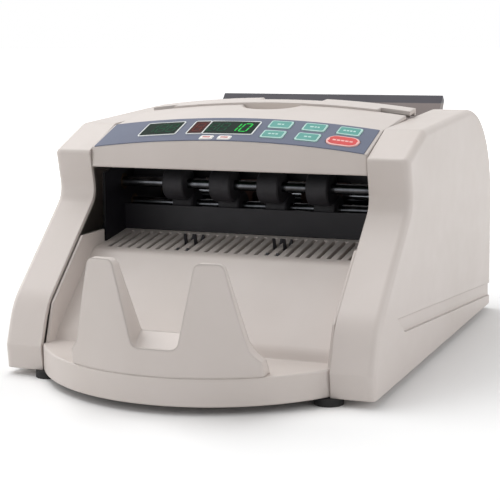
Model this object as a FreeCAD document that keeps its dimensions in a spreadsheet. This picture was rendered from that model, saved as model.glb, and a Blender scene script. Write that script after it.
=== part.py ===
import FreeCAD, Part
import math
import os
from types import SimpleNamespace

import Sketcher
from FreeCAD import Placement, Rotation, Vector

# Desk-top banknote counter. X runs across the machine, -Y is its front, Z is up, and the origin is on the
# table under the middle of its box. Heights are above the underside of the casing, which the feet carry,
# and setbacks are behind the foot of the casing's front columns.

os.makedirs("parts", exist_ok=True)
doc = FreeCAD.newDocument("note_counter")
sheet = doc.addObject("Spreadsheet::Sheet", "Sheet")

SIZES = {
    # whole machine
    "body_width": 220, "body_depth": 308, "foot_height": 4, "foot_radius": 8, "foot_hole": 2.2,
    "foot_inset": 26.4, "front_foot_setback": 4, "rear_foot_inset": 24,
    # clearances
    "seam_gap": 0.4, "running_gap": 0.05, "hub_gap": 0.02, "part_gap": 0.6, "nip_gap": 0.3,
    # side covers
    "cover_width": 24.2, "cover_wall": 2.5, "tray_reach": 44.8,
    "crease_height": 13.4, "crease_lead": 1.2, "bulge_height": 36.7, "bulge_setback": 7.2,
    "throat_height": 91.9, "throat_setback": 67, "brow_height": 118.3, "brow_setback": 61.7,
    "slope_height": 131.9, "slope_setback": 96.1, "top_height": 138,
    "crease_round": 3, "bulge_round": 40, "throat_round": 12, "brow_round": 2.5, "slope_round": 8,
    "rear_round": 64, "edge_round": 4,
    "groove_depth": 1.6, "groove_width": 8.6, "groove_start": 40, "groove_lead": 15,
    "groove_front_height": 35, "groove_rear_height": 13,
    # console between the side covers
    "crown_radius": 650, "console_wall": 2.5, "fascia_setback": 64, "fascia_height": 108.8,
    "panel_height": 120.3, "panel_length": 31.1, "panel_tilt": 19.5, "deck_tilt": 6.5,
    "panel_inset": 85.4, "overlay_thickness": 0.5, "overlay_margin": 1.9, "window_thickness": 0.9,
    "window_ledge": 1.5, "window_low": 8.6, "window_tall": 16.8, "batch_left": -58.2, "batch_wide": 23.4,
    "mode_left": -27.1, "mode_wide": 9.4, "count_left": -16.9, "count_wide": 30.4,
    "lamp_first": -12.2, "lamp_pitch": 11.2, "lamp_low": 1.4, "lamp_wide": 7.2, "lamp_tall": 4,
    # keys
    "key_wide": 13.9, "key_tall": 9.8, "key_corner": 1.6, "key_rise": 1, "key_depth": 6,
    "key_travel": 1, "key_gap": 0.3, "key_edge": 0.4, "key_first": 26.5, "key_pitch": 20.8,
    "key_row_low": 10.4, "key_row_high": 23.5, "reset_wide": 19.4, "reset_tall": 11.6,
    # display board under the panel
    "board_drop": 14, "board_rim": 4, "board_room": 9.4, "board_tall": 24, "board_low": 3.6,
    "board_thickness": 1.6, "module_height": 6, "module_inset": 2, "switch_side": 6,
    "boss_radius": 2.5, "boss_left": -31, "boss_right": 36.9, "boss_inset": 4,
    # access cover behind the panel
    "lid_setback": 140.5, "lid_rear_setback": 161, "lid_step": 1.2, "lid_tilt": 4.7, "lid_wall": 2.5,
    "lid_front_drop": 4.5, "lid_rear_drop": 6, "lid_notch_half": 20, "lid_notch_depth": 1.7,
    "lid_notch_lead": 3, "lid_notch_deep": 7.5, "lid_notch_offset": 7.5,
    "scoop_half": 19, "scoop_reach": 17, "scoop_depth": 5.5,
    "lid_pivot_lead": 4.5, "lid_pivot_height": 129.5, "lid_pin_radius": 1.5, "lid_lug_inset": 13,
    "lid_lug_wide": 9.5, "lid_lug_half": 3, "lid_end_clear": 3.4, "lid_sweep": 12.5, "lid_sweep_drop": 4,
    "catch_wide": 18, "catch_deep": 7.5, "catch_radius": 2, "catch_height": 130.5,
    # stacker tray
    "lip_radius": 103, "lip_lift": 0.6, "lip_height": 15.4, "lip_round": 1, "tray_wall": 3,
    "tray_rear": 14, "ramp_foot_height": 20.5, "shelf_setback": 58.5, "shelf_height": 60.5,
    "shelf_rear": 100, "shelf_rear_height": 66.6, "ramp_round": 14, "shelf_round": 8,
    "liner_thickness": 1.5, "liner_inset": 3.2, "liner_rear": 73, "liner_top": 70,
    "slot_pitch": 6.28, "slot_width": 2.4, "slot_rows": 12, "slot_half": 16,
    # two-pronged note stop
    "prong_height": 75, "prong_out": 37.7, "prong_in": 23, "prong_rear": -37.8, "prong_radius": 220,
    "valley_half": 12.4, "valley_height": 29.8, "flare_half": 48.1, "flare_height": 28.5, "stop_half": 53,
    "stop_end_height": 23.5, "stop_rear": -17.3, "knee_rear": -29.6, "stop_wall": 2.5, "stop_offset": 6.3,
    "prong_round": 4, "valley_round": 5, "flare_round": 14, "stop_end_round": 2.5,
    "sill_lead": 3, "sill_rise": 6.2,
    # side plates, rods and base
    "plate_thickness": 1.5, "plate_room": 1.3, "plate_rear_gap": 8, "plate_front": 74.7,
    "plate_top": 131.6, "plate_brow": 104, "plate_slope": 195, "plate_rear_top": 121, "pan_thickness": 1.5,
    "pan_front": 16, "tie_radius": 4, "tie_front_setback": 89, "tie_front_height": 21,
    "tie_rear_setback": 214, "tie_rear_height": 60, "panel_thickness": 2.5, "throat_panel_height": 82,
    # shafts and rollers
    "shaft_radius": 3, "bush_radius": 5, "bush_flange": 6.5, "bush_flange_thick": 1, "shaft_overrun": 1.5,
    "pinch_setback": 100, "pinch_height": 96, "pinch_radius": 10, "pinch_wide": 13.5,
    "roller_pitch": 30.7, "roller_edge": 0.8, "transport_radius": 9, "nip_angle": 47.5,
    "feed_setback": 155.2, "feed_height": 82, "feed_radius": 18, "feed_wide": 22, "feed_offset": 30,
    "retard_radius": 9, "retard_wide": 16, "retard_angle": 59, "retard_gap": 0.6, "retard_throw": 0.2,
    "thumbwheel_radius": 12, "thumbwheel_wide": 8, "thumbwheel_notches": 18, "thumbwheel_notch": 1,
    "pickup_setback": 197.2, "pickup_radius": 10, "pickup_rise": 1.5, "pickup_wide": 16, "pickup_offset": 20,
    "stacker_setback": 79.7, "stacker_height": 52.5, "stacker_radius": 17, "stacker_hub": 7,
    "stacker_thick": 1.4, "finger_count": 8, "finger_wide": 3, "finger_sweep": 4, "stacker_slot": 5,
    # drive
    "pulley_wide": 5.8, "pulley_flange": 0.9, "pulley_lip": 1.2, "pulley_clear": 1.7, "pulley_space": 1.4,
    "belt_thickness": 1.2, "belt_gap": 0.3, "motor_seat": 6, "feed_motor_seat": 14, "feed_transport_seat": 10,
    "transport_seat": 8, "transport_stacker_seat": 7, "stacker_seat": 9.8, "pickup_seat": 9,
    "motor_setback": 187.2, "motor_height": 34, "motor_radius": 18, "motor_length": 58,
    "motor_shaft_radius": 2.5, "motor_shaft_depth": 42, "motor_hole": 6,
    # hopper
    "hopper_setback": 167.2, "hopper_height": 100, "hopper_tilt": 12.7, "hopper_rear": 221,
    "hopper_wall": 2, "hopper_front_top_setback": 167.2, "hopper_front_top_height": 122,
    "hopper_front_low_setback": 157, "hopper_front_low_height": 108,
    "guide_rod_setback": 213.2, "guide_rod_height": 101.5, "guide_rod_radius": 2.5, "guide_thickness": 2,
    "guide_front": 173, "guide_rear": 217, "guide_top": 129, "guide_travel": 25, "guide_foot_wide": 8,
    "guide_foot_half": 2.8, "guide_room": 1.5,
    "note_rest_room": 6.2, "note_rest_thickness": 3, "note_rest_tilt": 45, "note_rest_setback": 222.2,
    "note_rest_height": 114.2, "note_rest_length": 38.3, "rim_tall": 4.5, "rim_deep": 5, "gusset_deep": 9,
    "gusset_wide": 2, "gusset_low": 8, "gusset_high": 16,
    # rear cover and its fittings
    "rear_wall": 2.5, "rear_recess": 1.5, "rear_knee_height": 80, "rear_bend_height": 100,
    "rear_bend_lead": 5, "rear_lap": 2.8,
    "inlet_left": 42, "inlet_wide": 27, "inlet_low": 18, "inlet_tall": 20, "inlet_deep": 20, "inlet_rim": 2,
    "inlet_wall": 2, "inlet_cavity": 15, "blade_wide": 2, "blade_tall": 4, "blade_pitch": 7,
    "blade_length": 11,
    "rocker_left": 8, "rocker_wide": 21, "rocker_half": 8, "rocker_deep": 9, "rocker_face": 1.5,
    "rocker_height": 28, "rocker_room": 1.3, "rocker_dip": 1.2, "rocker_tilt": 7, "rocker_pin": 0.8,
    "rocker_pin_reach": 1.2,
    "screw_radius": 3, "screw_head": 1.2, "screw_shank": 1.5, "screw_length": 8, "screw_inset": 9,
    "screw_low": 10, "screw_high": 70,
    # electrics on the base
    "main_board_half": 68, "main_board_front": 92, "main_board_rear": 165, "main_board_lift": 7,
    "post_radius": 3, "post_inset": 6, "chip_side": 22, "chip_tall": 3, "can_radius": 6, "can_tall": 18,
    "transformer_gap": 4, "transformer_wide": 50, "transformer_front": 173, "transformer_deep": 40,
    "transformer_tall": 42, "coil_out": 6, "coil_wide": 28, "sensor_setback": 114,
    "sensor_deep": 11, "sensor_height": 98, "sensor_tall": 8, "sensor_eye": 2, "sensor_eye_offset": 40,
}

for row, (alias, number) in enumerate(SIZES.items(), start=1):
    sheet.set(f"A{row}", alias)
    sheet.set(f"B{row}", str(number))
    sheet.setAlias(f"B{row}", alias)
doc.recompute()


class Dim:
    """A size: its number now, and the sheet expression that keeps it up to date."""

    def __init__(self, value, text):
        self.value = float(value)
        self.text = text

    def __add__(self, other):
        return Dim(self.value + dim(other).value, f"({self.text} + {dim(other).text})")

    def __sub__(self, other):
        return Dim(self.value - dim(other).value, f"({self.text} - {dim(other).text})")

    def __mul__(self, other):
        return Dim(self.value * dim(other).value, f"({self.text} * {dim(other).text})")

    def __truediv__(self, other):
        return Dim(self.value / dim(other).value, f"({self.text} / {dim(other).text})")

    def __neg__(self):
        return Dim(-self.value, f"(0 - {self.text})")

    def __radd__(self, other):
        return dim(other) + self

    def __rsub__(self, other):
        return dim(other) - self

    def __rmul__(self, other):
        return dim(other) * self


def dim(size):
    return size if isinstance(size, Dim) else Dim(size, f"({float(size)})")


def cosine(angle):
    return Dim(math.cos(math.radians(angle.value)), f"cos({angle.text} * 1deg)")


def sine(angle):
    return Dim(math.sin(math.radians(angle.value)), f"sin({angle.text} * 1deg)")


def tangent(angle):
    return Dim(math.tan(math.radians(angle.value)), f"tan({angle.text} * 1deg)")


def root(size):
    return Dim(math.sqrt(size.value), f"sqrt({size.text})")


s = SimpleNamespace(**{alias: Dim(sheet.get(alias), f"Sheet.{alias}") for alias in SIZES})
nodes = []


def node(label, thing):
    """Name a finished piece and put it on the list of files."""
    thing.Label = label
    nodes.append(thing)
    return thing


def bind(thing, **sizes):
    for prop, size in sizes.items():
        thing.setExpression(prop, dim(size).text)


def move(thing, x=0, y=0, z=0):
    for axis, size in zip("xyz", (x, y, z)):
        thing.setExpression(f"Placement.Base.{axis}", dim(size).text)


def block(name, x, y, z):
    """Box between two sizes along each axis."""
    box = doc.addObject("Part::Box", name)
    bind(box, Length=x[1] - x[0], Width=y[1] - y[0], Height=z[1] - z[0])
    move(box, x[0], y[0], z[0])
    return box


TURNS = {"x": Rotation(Vector(0, 1, 0), 90), "y": Rotation(Vector(1, 0, 0), -90), "z": Rotation()}


def bar(name, axis, radius, span, across):
    """Round bar along one axis, over a span of it, at the other two coordinates."""
    rod = doc.addObject("Part::Cylinder", name)
    bind(rod, Radius=radius, Height=span[1] - span[0])
    rod.Placement = Placement(Vector(), TURNS[axis])
    first, second = across
    spot = {"x": (span[0], first, second), "y": (first, span[0], second), "z": (first, second, span[0])}
    move(rod, *spot[axis])
    return rod


def fuse(name, *things):
    joined = doc.addObject("Part::MultiFuse", name)
    joined.Shapes = list(things)
    joined.Refine = True
    return joined


def cut(name, base, *tools):
    result = doc.addObject("Part::Cut", name)
    result.Base = base
    result.Tool = tools[0] if len(tools) == 1 else fuse(f"{name}_tools", *tools)
    result.Refine = True
    return result


def common(name, base, tool):
    result = doc.addObject("Part::Common", name)
    result.Base = base
    result.Tool = tool
    return result


def group(name, things):
    pieces = doc.addObject("Part::Compound", name)
    pieces.Links = list(things)
    return pieces


def outline(sketch, points):
    """Closed polygon in a sketch: every corner is held at its two distances from the origin."""
    spots = [(dim(across), dim(up)) for across, up in points]
    last = len(spots)
    for i in range(last):
        start, end = spots[i], spots[(i + 1) % last]
        line = Part.LineSegment(Vector(start[0].value, start[1].value, 0),
                                Vector(end[0].value, end[1].value, 0))
        sketch.addGeometry(line, False)
    for i in range(last):
        sketch.addConstraint(Sketcher.Constraint("Coincident", i, 2, (i + 1) % last, 1))
    for i, (across, up) in enumerate(spots):
        for kind, size in (("DistanceX", across), ("DistanceY", up)):
            held = sketch.addConstraint(Sketcher.Constraint(kind, -1, 1, i, 1, size.value))
            sketch.setExpression(f"Constraints[{held}]", size.text)


PLANES = {"XY": Rotation(), "YZ": Rotation(Vector(1, 1, 1), 120), "XZ": Rotation(Vector(1, 0, 0), 90)}


def section(name, plane, points):
    """Free sketch of a closed outline on one of the main planes."""
    sketch = doc.addObject("Sketcher::SketchObject", name)
    sketch.Placement = Placement(Vector(), PLANES[plane])
    outline(sketch, points)
    return sketch


def extrude(name, sketch, low, high):
    """Solid over a section, between two distances along the section's normal."""
    solid = doc.addObject("Part::Extrusion", name)
    solid.Base = sketch
    solid.DirMode = "Normal"
    solid.Solid = True
    bind(solid, LengthFwd=high, LengthRev=-dim(low))
    return solid


def edge_names(shape, chosen):
    return [f"Edge{i}" for i, edge in enumerate(shape.Edges, start=1) if chosen(edge)]


def runs_along(axis, *spots):
    """Pick straight edges along an axis that pass within reach of any of the given places."""
    direction = {"x": Vector(1, 0, 0), "y": Vector(0, 1, 0), "z": Vector(0, 0, 1)}[axis]
    reach = 0.05

    def chosen(edge):
        if edge.Curve.TypeId != "Part::GeomLine":
            return False
        if abs(abs(edge.Curve.Direction.dot(direction)) - 1) > 1e-6:
            return False
        middle = edge.CenterOfMass
        for spot in spots:
            away = middle - Vector(*[dim(size).value for size in spot])
            if (away - direction * away.dot(direction)).Length < reach:
                return True
        return False

    return chosen


def body_sketch(body, name, role, points, offset=0):
    sketch = body.newObject("Sketcher::SketchObject", name)
    plane = next(feature for feature in body.Origin.OriginFeatures if feature.Role == role)
    sketch.AttachmentSupport = [(plane, "")]
    sketch.MapMode = "FlatFace"
    sketch.setExpression("AttachmentOffset.Base.z", dim(offset).text)
    outline(sketch, points)
    return sketch


def pad(body, name, sketch, length, back=False):
    feature = body.newObject("PartDesign::Pad", name)
    feature.Profile = sketch
    feature.Reversed = back
    bind(feature, Length=length)
    doc.recompute()
    return feature


def pocket(body, name, sketch, length, back=False):
    before = body.Shape.Volume
    feature = body.newObject("PartDesign::Pocket", name)
    feature.Profile = sketch
    feature.Reversed = back
    bind(feature, Length=length)
    doc.recompute()
    if not body.Shape.Volume < before:
        raise RuntimeError(f"{body.Name}.{name} cuts nothing")
    return feature


def soften(body, name, radius, chosen):
    """Round the chosen edges of a body's last feature."""
    base = body.Tip
    feature = body.newObject("PartDesign::Fillet", name)
    feature.Base = (base, edge_names(base.Shape, chosen))
    bind(feature, Radius=radius)
    doc.recompute()
    return feature


def rounded(name, base, radius, chosen):
    """Solid with the chosen edges rounded by one radius."""
    body = doc.addObject("PartDesign::Body", name)
    body.BaseFeature = base
    doc.recompute()
    soften(body, f"{name}_edges", radius, chosen)
    return body


def turned(name, profile, y, z):
    """Part turned about an X axis: the profile gives distances along X and radii."""
    body = doc.addObject("PartDesign::Body", name)
    sketch = body_sketch(body, f"{name}_profile", "XY_Plane", profile)
    spin = body.newObject("PartDesign::Revolution", f"{name}_turn")
    spin.Profile = sketch
    spin.ReferenceAxis = (sketch, ["H_Axis"])
    spin.Angle = 360
    move(body, 0, y, z)
    return body


def roller(name, middle, wide, radius, bore, y, z):
    """Cylinder with a bore and broken edges."""
    low, high = middle - wide / 2, middle + wide / 2
    edge = s.roller_edge
    profile = [(low, bore), (high, bore), (high, radius - edge), (high - edge, radius)]
    profile += [(low + edge, radius), (low, radius - edge)]
    return turned(name, profile, y, z)


# Places that several pieces share
half_width = s.body_width / 2
half_depth = s.body_depth / 2
floor = s.foot_height
front = s.tray_reach - half_depth
inner_half = half_width - s.cover_width
between_half = inner_half - s.seam_gap
crown_rise = s.crown_radius - root(s.crown_radius * s.crown_radius - between_half * between_half)


def at(setback):
    return front + setback


def up(height):
    return floor + height


# The rear cover's top edge lies behind the leaning hopper plate, and the side plates end in front of it
rest_behind = s.note_rest_thickness / cosine(s.note_rest_tilt) + s.rear_wall + s.part_gap
rear_top_y = at(s.note_rest_setback) + s.rear_lap * tangent(s.note_rest_tilt) + rest_behind
plate_rear = rear_top_y - s.rear_wall - s.plate_rear_gap


# Side covers: hollow mouldings with an S-shaped front column, a folded brow and a round back
cover_profile = [
    (front, floor),
    (at(-s.crease_lead), up(s.crease_height)),
    (at(s.bulge_setback), up(s.bulge_height)),
    (at(s.throat_setback), up(s.throat_height)),
    (at(s.brow_setback), up(s.brow_height)),
    (at(s.slope_setback), up(s.slope_height)),
    (half_depth, up(s.top_height)),
    (half_depth, floor),
]
COVER_ROUNDS = {1: s.crease_round, 2: s.bulge_round, 3: s.throat_round, 5: s.slope_round, 6: s.rear_round}
BROW = 4
for name, side in (("left_side_cover", -1), ("right_side_cover", 1)):
    body = doc.addObject("PartDesign::Body", name)
    shape = body_sketch(body, f"{name}_profile", "YZ_Plane", cover_profile, side * inner_half)
    pad(body, f"{name}_block", shape, s.cover_width, back=side < 0)
    for i, radius in COVER_ROUNDS.items():
        soften(body, f"{name}_round_{i}", radius, runs_along("x", (0, *cover_profile[i])))
    solid = body.Tip
    open_side = [f"Face{i}" for i, face in enumerate(solid.Shape.Faces, start=1)
                 if face.BoundBox.XLength < 1e-6
                 and abs(face.CenterOfMass.x - side * inner_half.value) < 1e-4]
    shell = body.newObject("PartDesign::Thickness", f"{name}_shell")
    shell.Base = (solid, open_side)
    shell.Reversed = True
    shell.Join = "Intersection"
    bind(shell, Value=s.cover_wall)
    doc.recompute()
    soften(body, f"{name}_brow", s.brow_round, runs_along("x", (0, *cover_profile[BROW])))
    outer = side * half_width.value
    low = floor.value

    def on_rim(edge):
        ends = [vertex.Point for vertex in edge.Vertexes]
        return all(abs(end.x - outer) < 1e-4 for end in ends) and edge.CenterOfMass.z > low + 1e-4

    soften(body, f"{name}_edge", s.edge_round, on_rim)
    groove_top = (at(s.groove_start), up(s.groove_front_height))
    groove_end = half_depth + s.groove_width
    groove = [
        groove_top,
        (groove_end, up(s.groove_rear_height)),
        (groove_end, up(s.groove_rear_height - s.groove_width)),
        (at(s.groove_start + s.groove_lead), up(s.groove_front_height - s.groove_width - s.groove_lead / 10)),
    ]
    mark = body_sketch(body, f"{name}_groove_line", "YZ_Plane", groove, side * half_width)
    pocket(body, f"{name}_groove", mark, s.groove_depth, back=side < 0)
    node(name, body)

# Base pan: pressed plate between the covers, with posts for the main board
pan_top = up(s.pan_thickness)
pan_rear = half_depth - s.rear_recess - s.rear_wall - s.part_gap
pan = block("pan_sheet", (-between_half, between_half), (at(s.pan_front), pan_rear), (floor, pan_top))
board_front, board_rear = at(s.main_board_front), at(s.main_board_rear)
board_low = pan_top + s.main_board_lift
posts = []
for i, x in enumerate((-s.main_board_half + s.post_inset, s.main_board_half - s.post_inset)):
    for j, y in enumerate((board_front + s.post_inset, board_rear - s.post_inset)):
        posts.append(bar(f"pan_post_{i}{j}", "z", s.post_radius, (floor, board_low), (x, y)))
node("base_pan", fuse("pan_with_posts", pan, *posts))

# Feet: rubber discs with a screw recess, under the corners
feet = []
for i, x in enumerate((s.foot_inset - half_width, half_width - s.foot_inset)):
    for j, y in enumerate((at(s.front_foot_setback), half_depth - s.rear_foot_inset)):
        disc = bar(f"foot_disc_{i}{j}", "z", s.foot_radius, (dim(0), floor), (x, y))
        recess = bar(f"foot_recess_{i}{j}", "z", s.foot_hole, (dim(0), floor / 2), (x, y))
        feet.append(cut(f"foot_{i}{j}", disc, recess))
node("feet", group("foot_set", feet))

# Crowned surfaces: sections turned about a long axis under the machine, so that each one arches across X
panel_low = (at(s.fascia_setback), up(s.panel_height) + crown_rise)
panel_run = s.panel_length * cosine(s.panel_tilt)
panel_climb = s.panel_length * sine(s.panel_tilt)
panel_top = (panel_low[0] + panel_run, panel_low[1] + panel_climb)
crown_axis = panel_low[1] - s.crown_radius
CROWN_SWEEP = 20


def arched(name, points):
    turn = doc.addObject("Part::Revolution", name)
    turn.Source = section(f"{name}_section", "YZ", points)
    turn.Axis = Vector(0, 1, 0)
    turn.setExpression("Base.z", crown_axis.text)
    turn.Angle = CROWN_SWEEP
    turn.Symmetric = True
    turn.Solid = True
    return turn


def panel_layer(name, thickness):
    """Sheet of the given thickness that lies on the sloped panel."""
    lean = (-thickness * sine(s.panel_tilt), thickness * cosine(s.panel_tilt))
    top = [(spot[0] + lean[0], spot[1] + lean[1]) for spot in (panel_top, panel_low)]
    return arched(name, [panel_low, panel_top] + top)


def panel_spot(x, climb):
    """Placement on the panel: local X across, local Y up the slope, local Z out of the panel."""
    tilt = s.panel_tilt.value
    rise = climb * math.sin(math.radians(tilt))
    reach = s.crown_radius.value + rise
    turn = math.asin(x / reach)
    y = panel_low[0].value + climb * math.cos(math.radians(tilt))
    z = crown_axis.value + reach * math.cos(turn)
    turned_to = Rotation(Vector(0, 1, 0), math.degrees(turn)) * Rotation(Vector(1, 0, 0), tilt)
    return Placement(Vector(x, y, z), turned_to)


def panel_prism(name, wide, tall, corner, low, high, x, climb):
    """Prism square to the panel, centred on a place of it, with rounded corners."""
    body = doc.addObject("PartDesign::Body", name)
    corners = [(-wide / 2, -tall / 2), (wide / 2, -tall / 2), (wide / 2, tall / 2), (-wide / 2, tall / 2)]
    sketch = body_sketch(body, f"{name}_face", "XY_Plane", corners, low)
    pad(body, f"{name}_pad", sketch, high - low)
    soften(body, f"{name}_corners", corner, runs_along("z", *[(x_, y_, 0) for x_, y_ in corners]))
    body.Placement = panel_spot(x.value, climb.value)
    return body


# Windows and lamps in the panel: name, left edge, width, low edge, height
window_corner = s.window_ledge / 2
panel_zero = between_half - s.panel_inset
PANES = [
    ("batch_display_window", panel_zero + s.batch_left, s.batch_wide, s.window_low, s.window_tall),
    ("mode_digit_window", panel_zero + s.mode_left, s.mode_wide, s.window_low, s.window_tall),
    ("count_display_window", panel_zero + s.count_left, s.count_wide, s.window_low, s.window_tall),
]
lamp_left = panel_zero + s.lamp_first - s.lamp_wide / 2
LAMPS = [
    (f"lamp_lens_{i}", lamp_left + i * s.lamp_pitch, s.lamp_wide, s.lamp_low, s.lamp_tall)
    for i in range(2)
]
# Keys: name, place across, place up the slope, width, height, corner
reset_corner = s.reset_tall / 2 - s.key_edge / 4
key_columns = [panel_zero + s.key_first + i * s.key_pitch for i in range(3)]
KEYS = [
    ("add_one_key", key_columns[0], s.key_row_high, s.key_wide, s.key_tall, s.key_corner),
    ("add_ten_key", key_columns[1], s.key_row_high, s.key_wide, s.key_tall, s.key_corner),
    ("preset_key", key_columns[2], s.key_row_high, s.key_wide, s.key_tall, s.key_corner),
    ("batch_key", key_columns[0], s.key_row_low, s.key_wide, s.key_tall, s.key_corner),
    ("detect_key", key_columns[1], s.key_row_low, s.key_wide, s.key_tall, s.key_corner),
    ("reset_key", key_columns[2], s.key_row_low, s.reset_wide, s.reset_tall, reset_corner),
]
cut_deep = s.console_wall * 3
cut_high = s.console_wall * 2


def pane_hole(tag, pane, grow):
    name, left, wide, low, tall = pane
    middle, height = left + wide / 2, low + tall / 2
    span = (-cut_deep, cut_high)
    return panel_prism(f"{name}_{tag}", wide + 2 * grow, tall + 2 * grow, window_corner, *span, middle,
                       height)


def key_hole(tag, key, grow):
    name, x, climb, wide, tall, corner = key
    span = (-cut_deep, cut_high)
    return panel_prism(f"{name}_{tag}", wide + 2 * grow, tall + 2 * grow, corner, *span, x, climb)


# Console housing: arched bridge with a flat-bottomed fascia, the sloped panel and the deck behind it
wall = s.console_wall
deck_end = at(s.lid_setback) - s.part_gap
deck_height = panel_top[1] + (deck_end - panel_top[0]) * tangent(s.deck_tilt)
fascia_low = up(s.fascia_height)
bridge = arched("console_bridge", [
    (panel_low[0], fascia_low - wall),
    panel_low,
    panel_top,
    (deck_end, deck_height),
    (deck_end, deck_height - wall),
    (panel_top[0] + wall / 8, panel_top[1] - wall),
    (panel_low[0] + wall, panel_low[1] - wall),
    (panel_low[0] + wall, fascia_low - wall),
])
room = block("console_room", (-between_half, between_half), (panel_low[0] - wall, deck_end + wall),
             (fascia_low, deck_height + wall))
trimmed = common("console_trimmed", bridge, room)


def dish(name, grow):
    """Half-egg hollow under the deck's rear edge, grown by a wall for its outside."""
    egg = doc.addObject("Part::Ellipsoid", name)
    bind(egg, Radius1=s.scoop_depth + grow, Radius2=s.scoop_half + grow, Radius3=s.scoop_reach + grow)
    move(egg, 0, deck_end, deck_height)
    return egg


scoop = dish("finger_scoop", dim(0))
under_deck = arched("under_deck", [
    panel_top,
    (deck_end, deck_height),
    (deck_end, deck_height - 3 * s.scoop_depth),
    (panel_top[0], panel_top[1] - 3 * s.scoop_depth),
])
bowl = common("scoop_bowl", under_deck, dish("scoop_outside", wall))
bosses = []
for i, x in enumerate((panel_zero + s.boss_left, panel_zero + s.boss_right)):
    for j, climb in enumerate((s.board_low + s.boss_inset, s.board_low + s.board_tall - s.boss_inset)):
        top = -x * x / (2 * s.crown_radius) - wall / 2
        bosses.append(bar(f"board_boss_{i}{j}", "z", s.boss_radius, (-s.board_drop, top), (x, climb)))
boss_set = fuse("board_bosses", *bosses)
boss_set.Placement = panel_spot(0, 0)
shell = fuse("console_shell", trimmed, bowl, boss_set)
console_holes = [pane_hole("view", pane, -s.window_ledge) for pane in PANES]
console_holes += [pane_hole("view", lamp, -s.window_ledge / 2) for lamp in LAMPS]
console_holes += [key_hole("well", key, s.key_gap) for key in KEYS]
node("console_housing", cut("console_cut", shell, scoop, *console_holes))

# Control overlay: thin printed sheet on the panel, cut out for windows, lamps and keys
overlay_half = between_half - s.overlay_margin
sheet_room = block("overlay_room", (-overlay_half, overlay_half), (panel_low[0] - wall, panel_top[0] + wall),
                   (fascia_low, panel_top[1] + wall))
overlay = common("overlay_sheet", panel_layer("overlay_layer", s.overlay_thickness), sheet_room)
overlay_holes = [pane_hole("frame", pane, s.running_gap) for pane in PANES + LAMPS]
overlay_holes += [key_hole("frame", key, s.key_gap) for key in KEYS]
node("control_overlay", cut("overlay_cut", overlay, *overlay_holes))

# Display windows and lamp lenses: panes that sit on the panel in the overlay's openings
for pane in PANES:
    pane_stock = panel_layer(f"{pane[0]}_layer", s.window_thickness)
    node(pane[0], common(f"{pane[0]}_pane", pane_stock, pane_hole("outline", pane, dim(0))))
lenses = [common(f"{lamp[0]}_pane", panel_layer(f"{lamp[0]}_layer", s.window_thickness),
                 pane_hole("outline", lamp, dim(0))) for lamp in LAMPS]
node("lamp_lenses", group("lamp_lens_pair", lenses))

# Key caps: rounded plungers that stand a little out of the panel
for name, x, climb, wide, tall, corner in KEYS:
    cap = panel_prism(name, wide, tall, corner, -s.key_depth, s.key_rise, x, climb)
    rise = s.key_rise.value
    soften(cap, f"{name}_top", s.key_edge, lambda edge: abs(edge.BoundBox.ZMax - rise) < 1e-5
           and edge.BoundBox.ZLength < 1e-5)
    node(name, cap)

# Display board under the panel, with digit modules below the windows and a switch below each key
board_place = panel_spot(0, 0)
board_span = (panel_zero + s.batch_left - s.board_rim, between_half - s.board_room)
board = block("display_sheet", board_span, (s.board_low, s.board_low + s.board_tall),
              (-s.board_drop - s.board_thickness, -s.board_drop))
board_frame = group("display_board_frame", [board])
board_frame.Placement = board_place
node("display_board", board_frame)
modules = []
for name, left, wide, low, tall in PANES:
    inset = s.module_inset
    modules.append(block(f"{name}_module", (left + inset, left + wide - inset),
                         (low + inset, low + tall - inset), (-s.board_drop, s.module_height - s.board_drop)))
module_set = group("display_module_set", modules)
module_set.Placement = board_place
node("display_modules", module_set)
switches = []
for name, x, climb, wide, tall, corner in KEYS:
    crown_drop = x * x / (2 * s.crown_radius)
    top = -(crown_drop + s.key_depth + s.key_travel + s.part_gap)
    half = s.switch_side / 2
    switches.append(block(f"{name}_switch", (x - half, x + half), (climb - half, climb + half),
                          (-s.board_drop, top)))
switch_set = group("key_switch_set", switches)
switch_set.Placement = board_place
node("key_switches", switch_set)

# Access cover: arched strip behind the deck, hinged at its rear on two pins
lid_front, lid_rear = at(s.lid_setback), at(s.lid_rear_setback)
lid_low = deck_height + s.lid_step
lid_high = lid_low + (lid_rear - lid_front) * tangent(s.lid_tilt)
lid_channel = arched("lid_channel", [
    (lid_front, lid_low - s.lid_front_drop),
    (lid_front, lid_low),
    (lid_rear, lid_high),
    (lid_rear, lid_high - s.lid_rear_drop),
    (lid_rear - s.lid_wall, lid_high - s.lid_rear_drop),
    (lid_rear - s.lid_wall, lid_high - s.lid_wall),
    (lid_front + s.lid_wall, lid_low - s.lid_wall),
    (lid_front + s.lid_wall, lid_low - s.lid_front_drop),
])
lid_room = block("lid_room", (-between_half, between_half), (lid_front - wall, lid_rear + wall),
                 (up(s.lid_pivot_height) - wall, lid_high + wall))
lid_strip = common("lid_strip", lid_channel, lid_room)
pivot_y, pivot_z = lid_rear - s.lid_pivot_lead, up(s.lid_pivot_height)
lug_reach = s.lid_pivot_lead - s.lid_wall / 2
plate_outer = inner_half - s.plate_room
plate_inner = plate_outer - s.plate_thickness
lug_inner = plate_inner - s.lid_lug_inset
lugs, lug_bores, end_clears, catch_rooms, cover_pins = [], [], [], [], []
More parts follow.
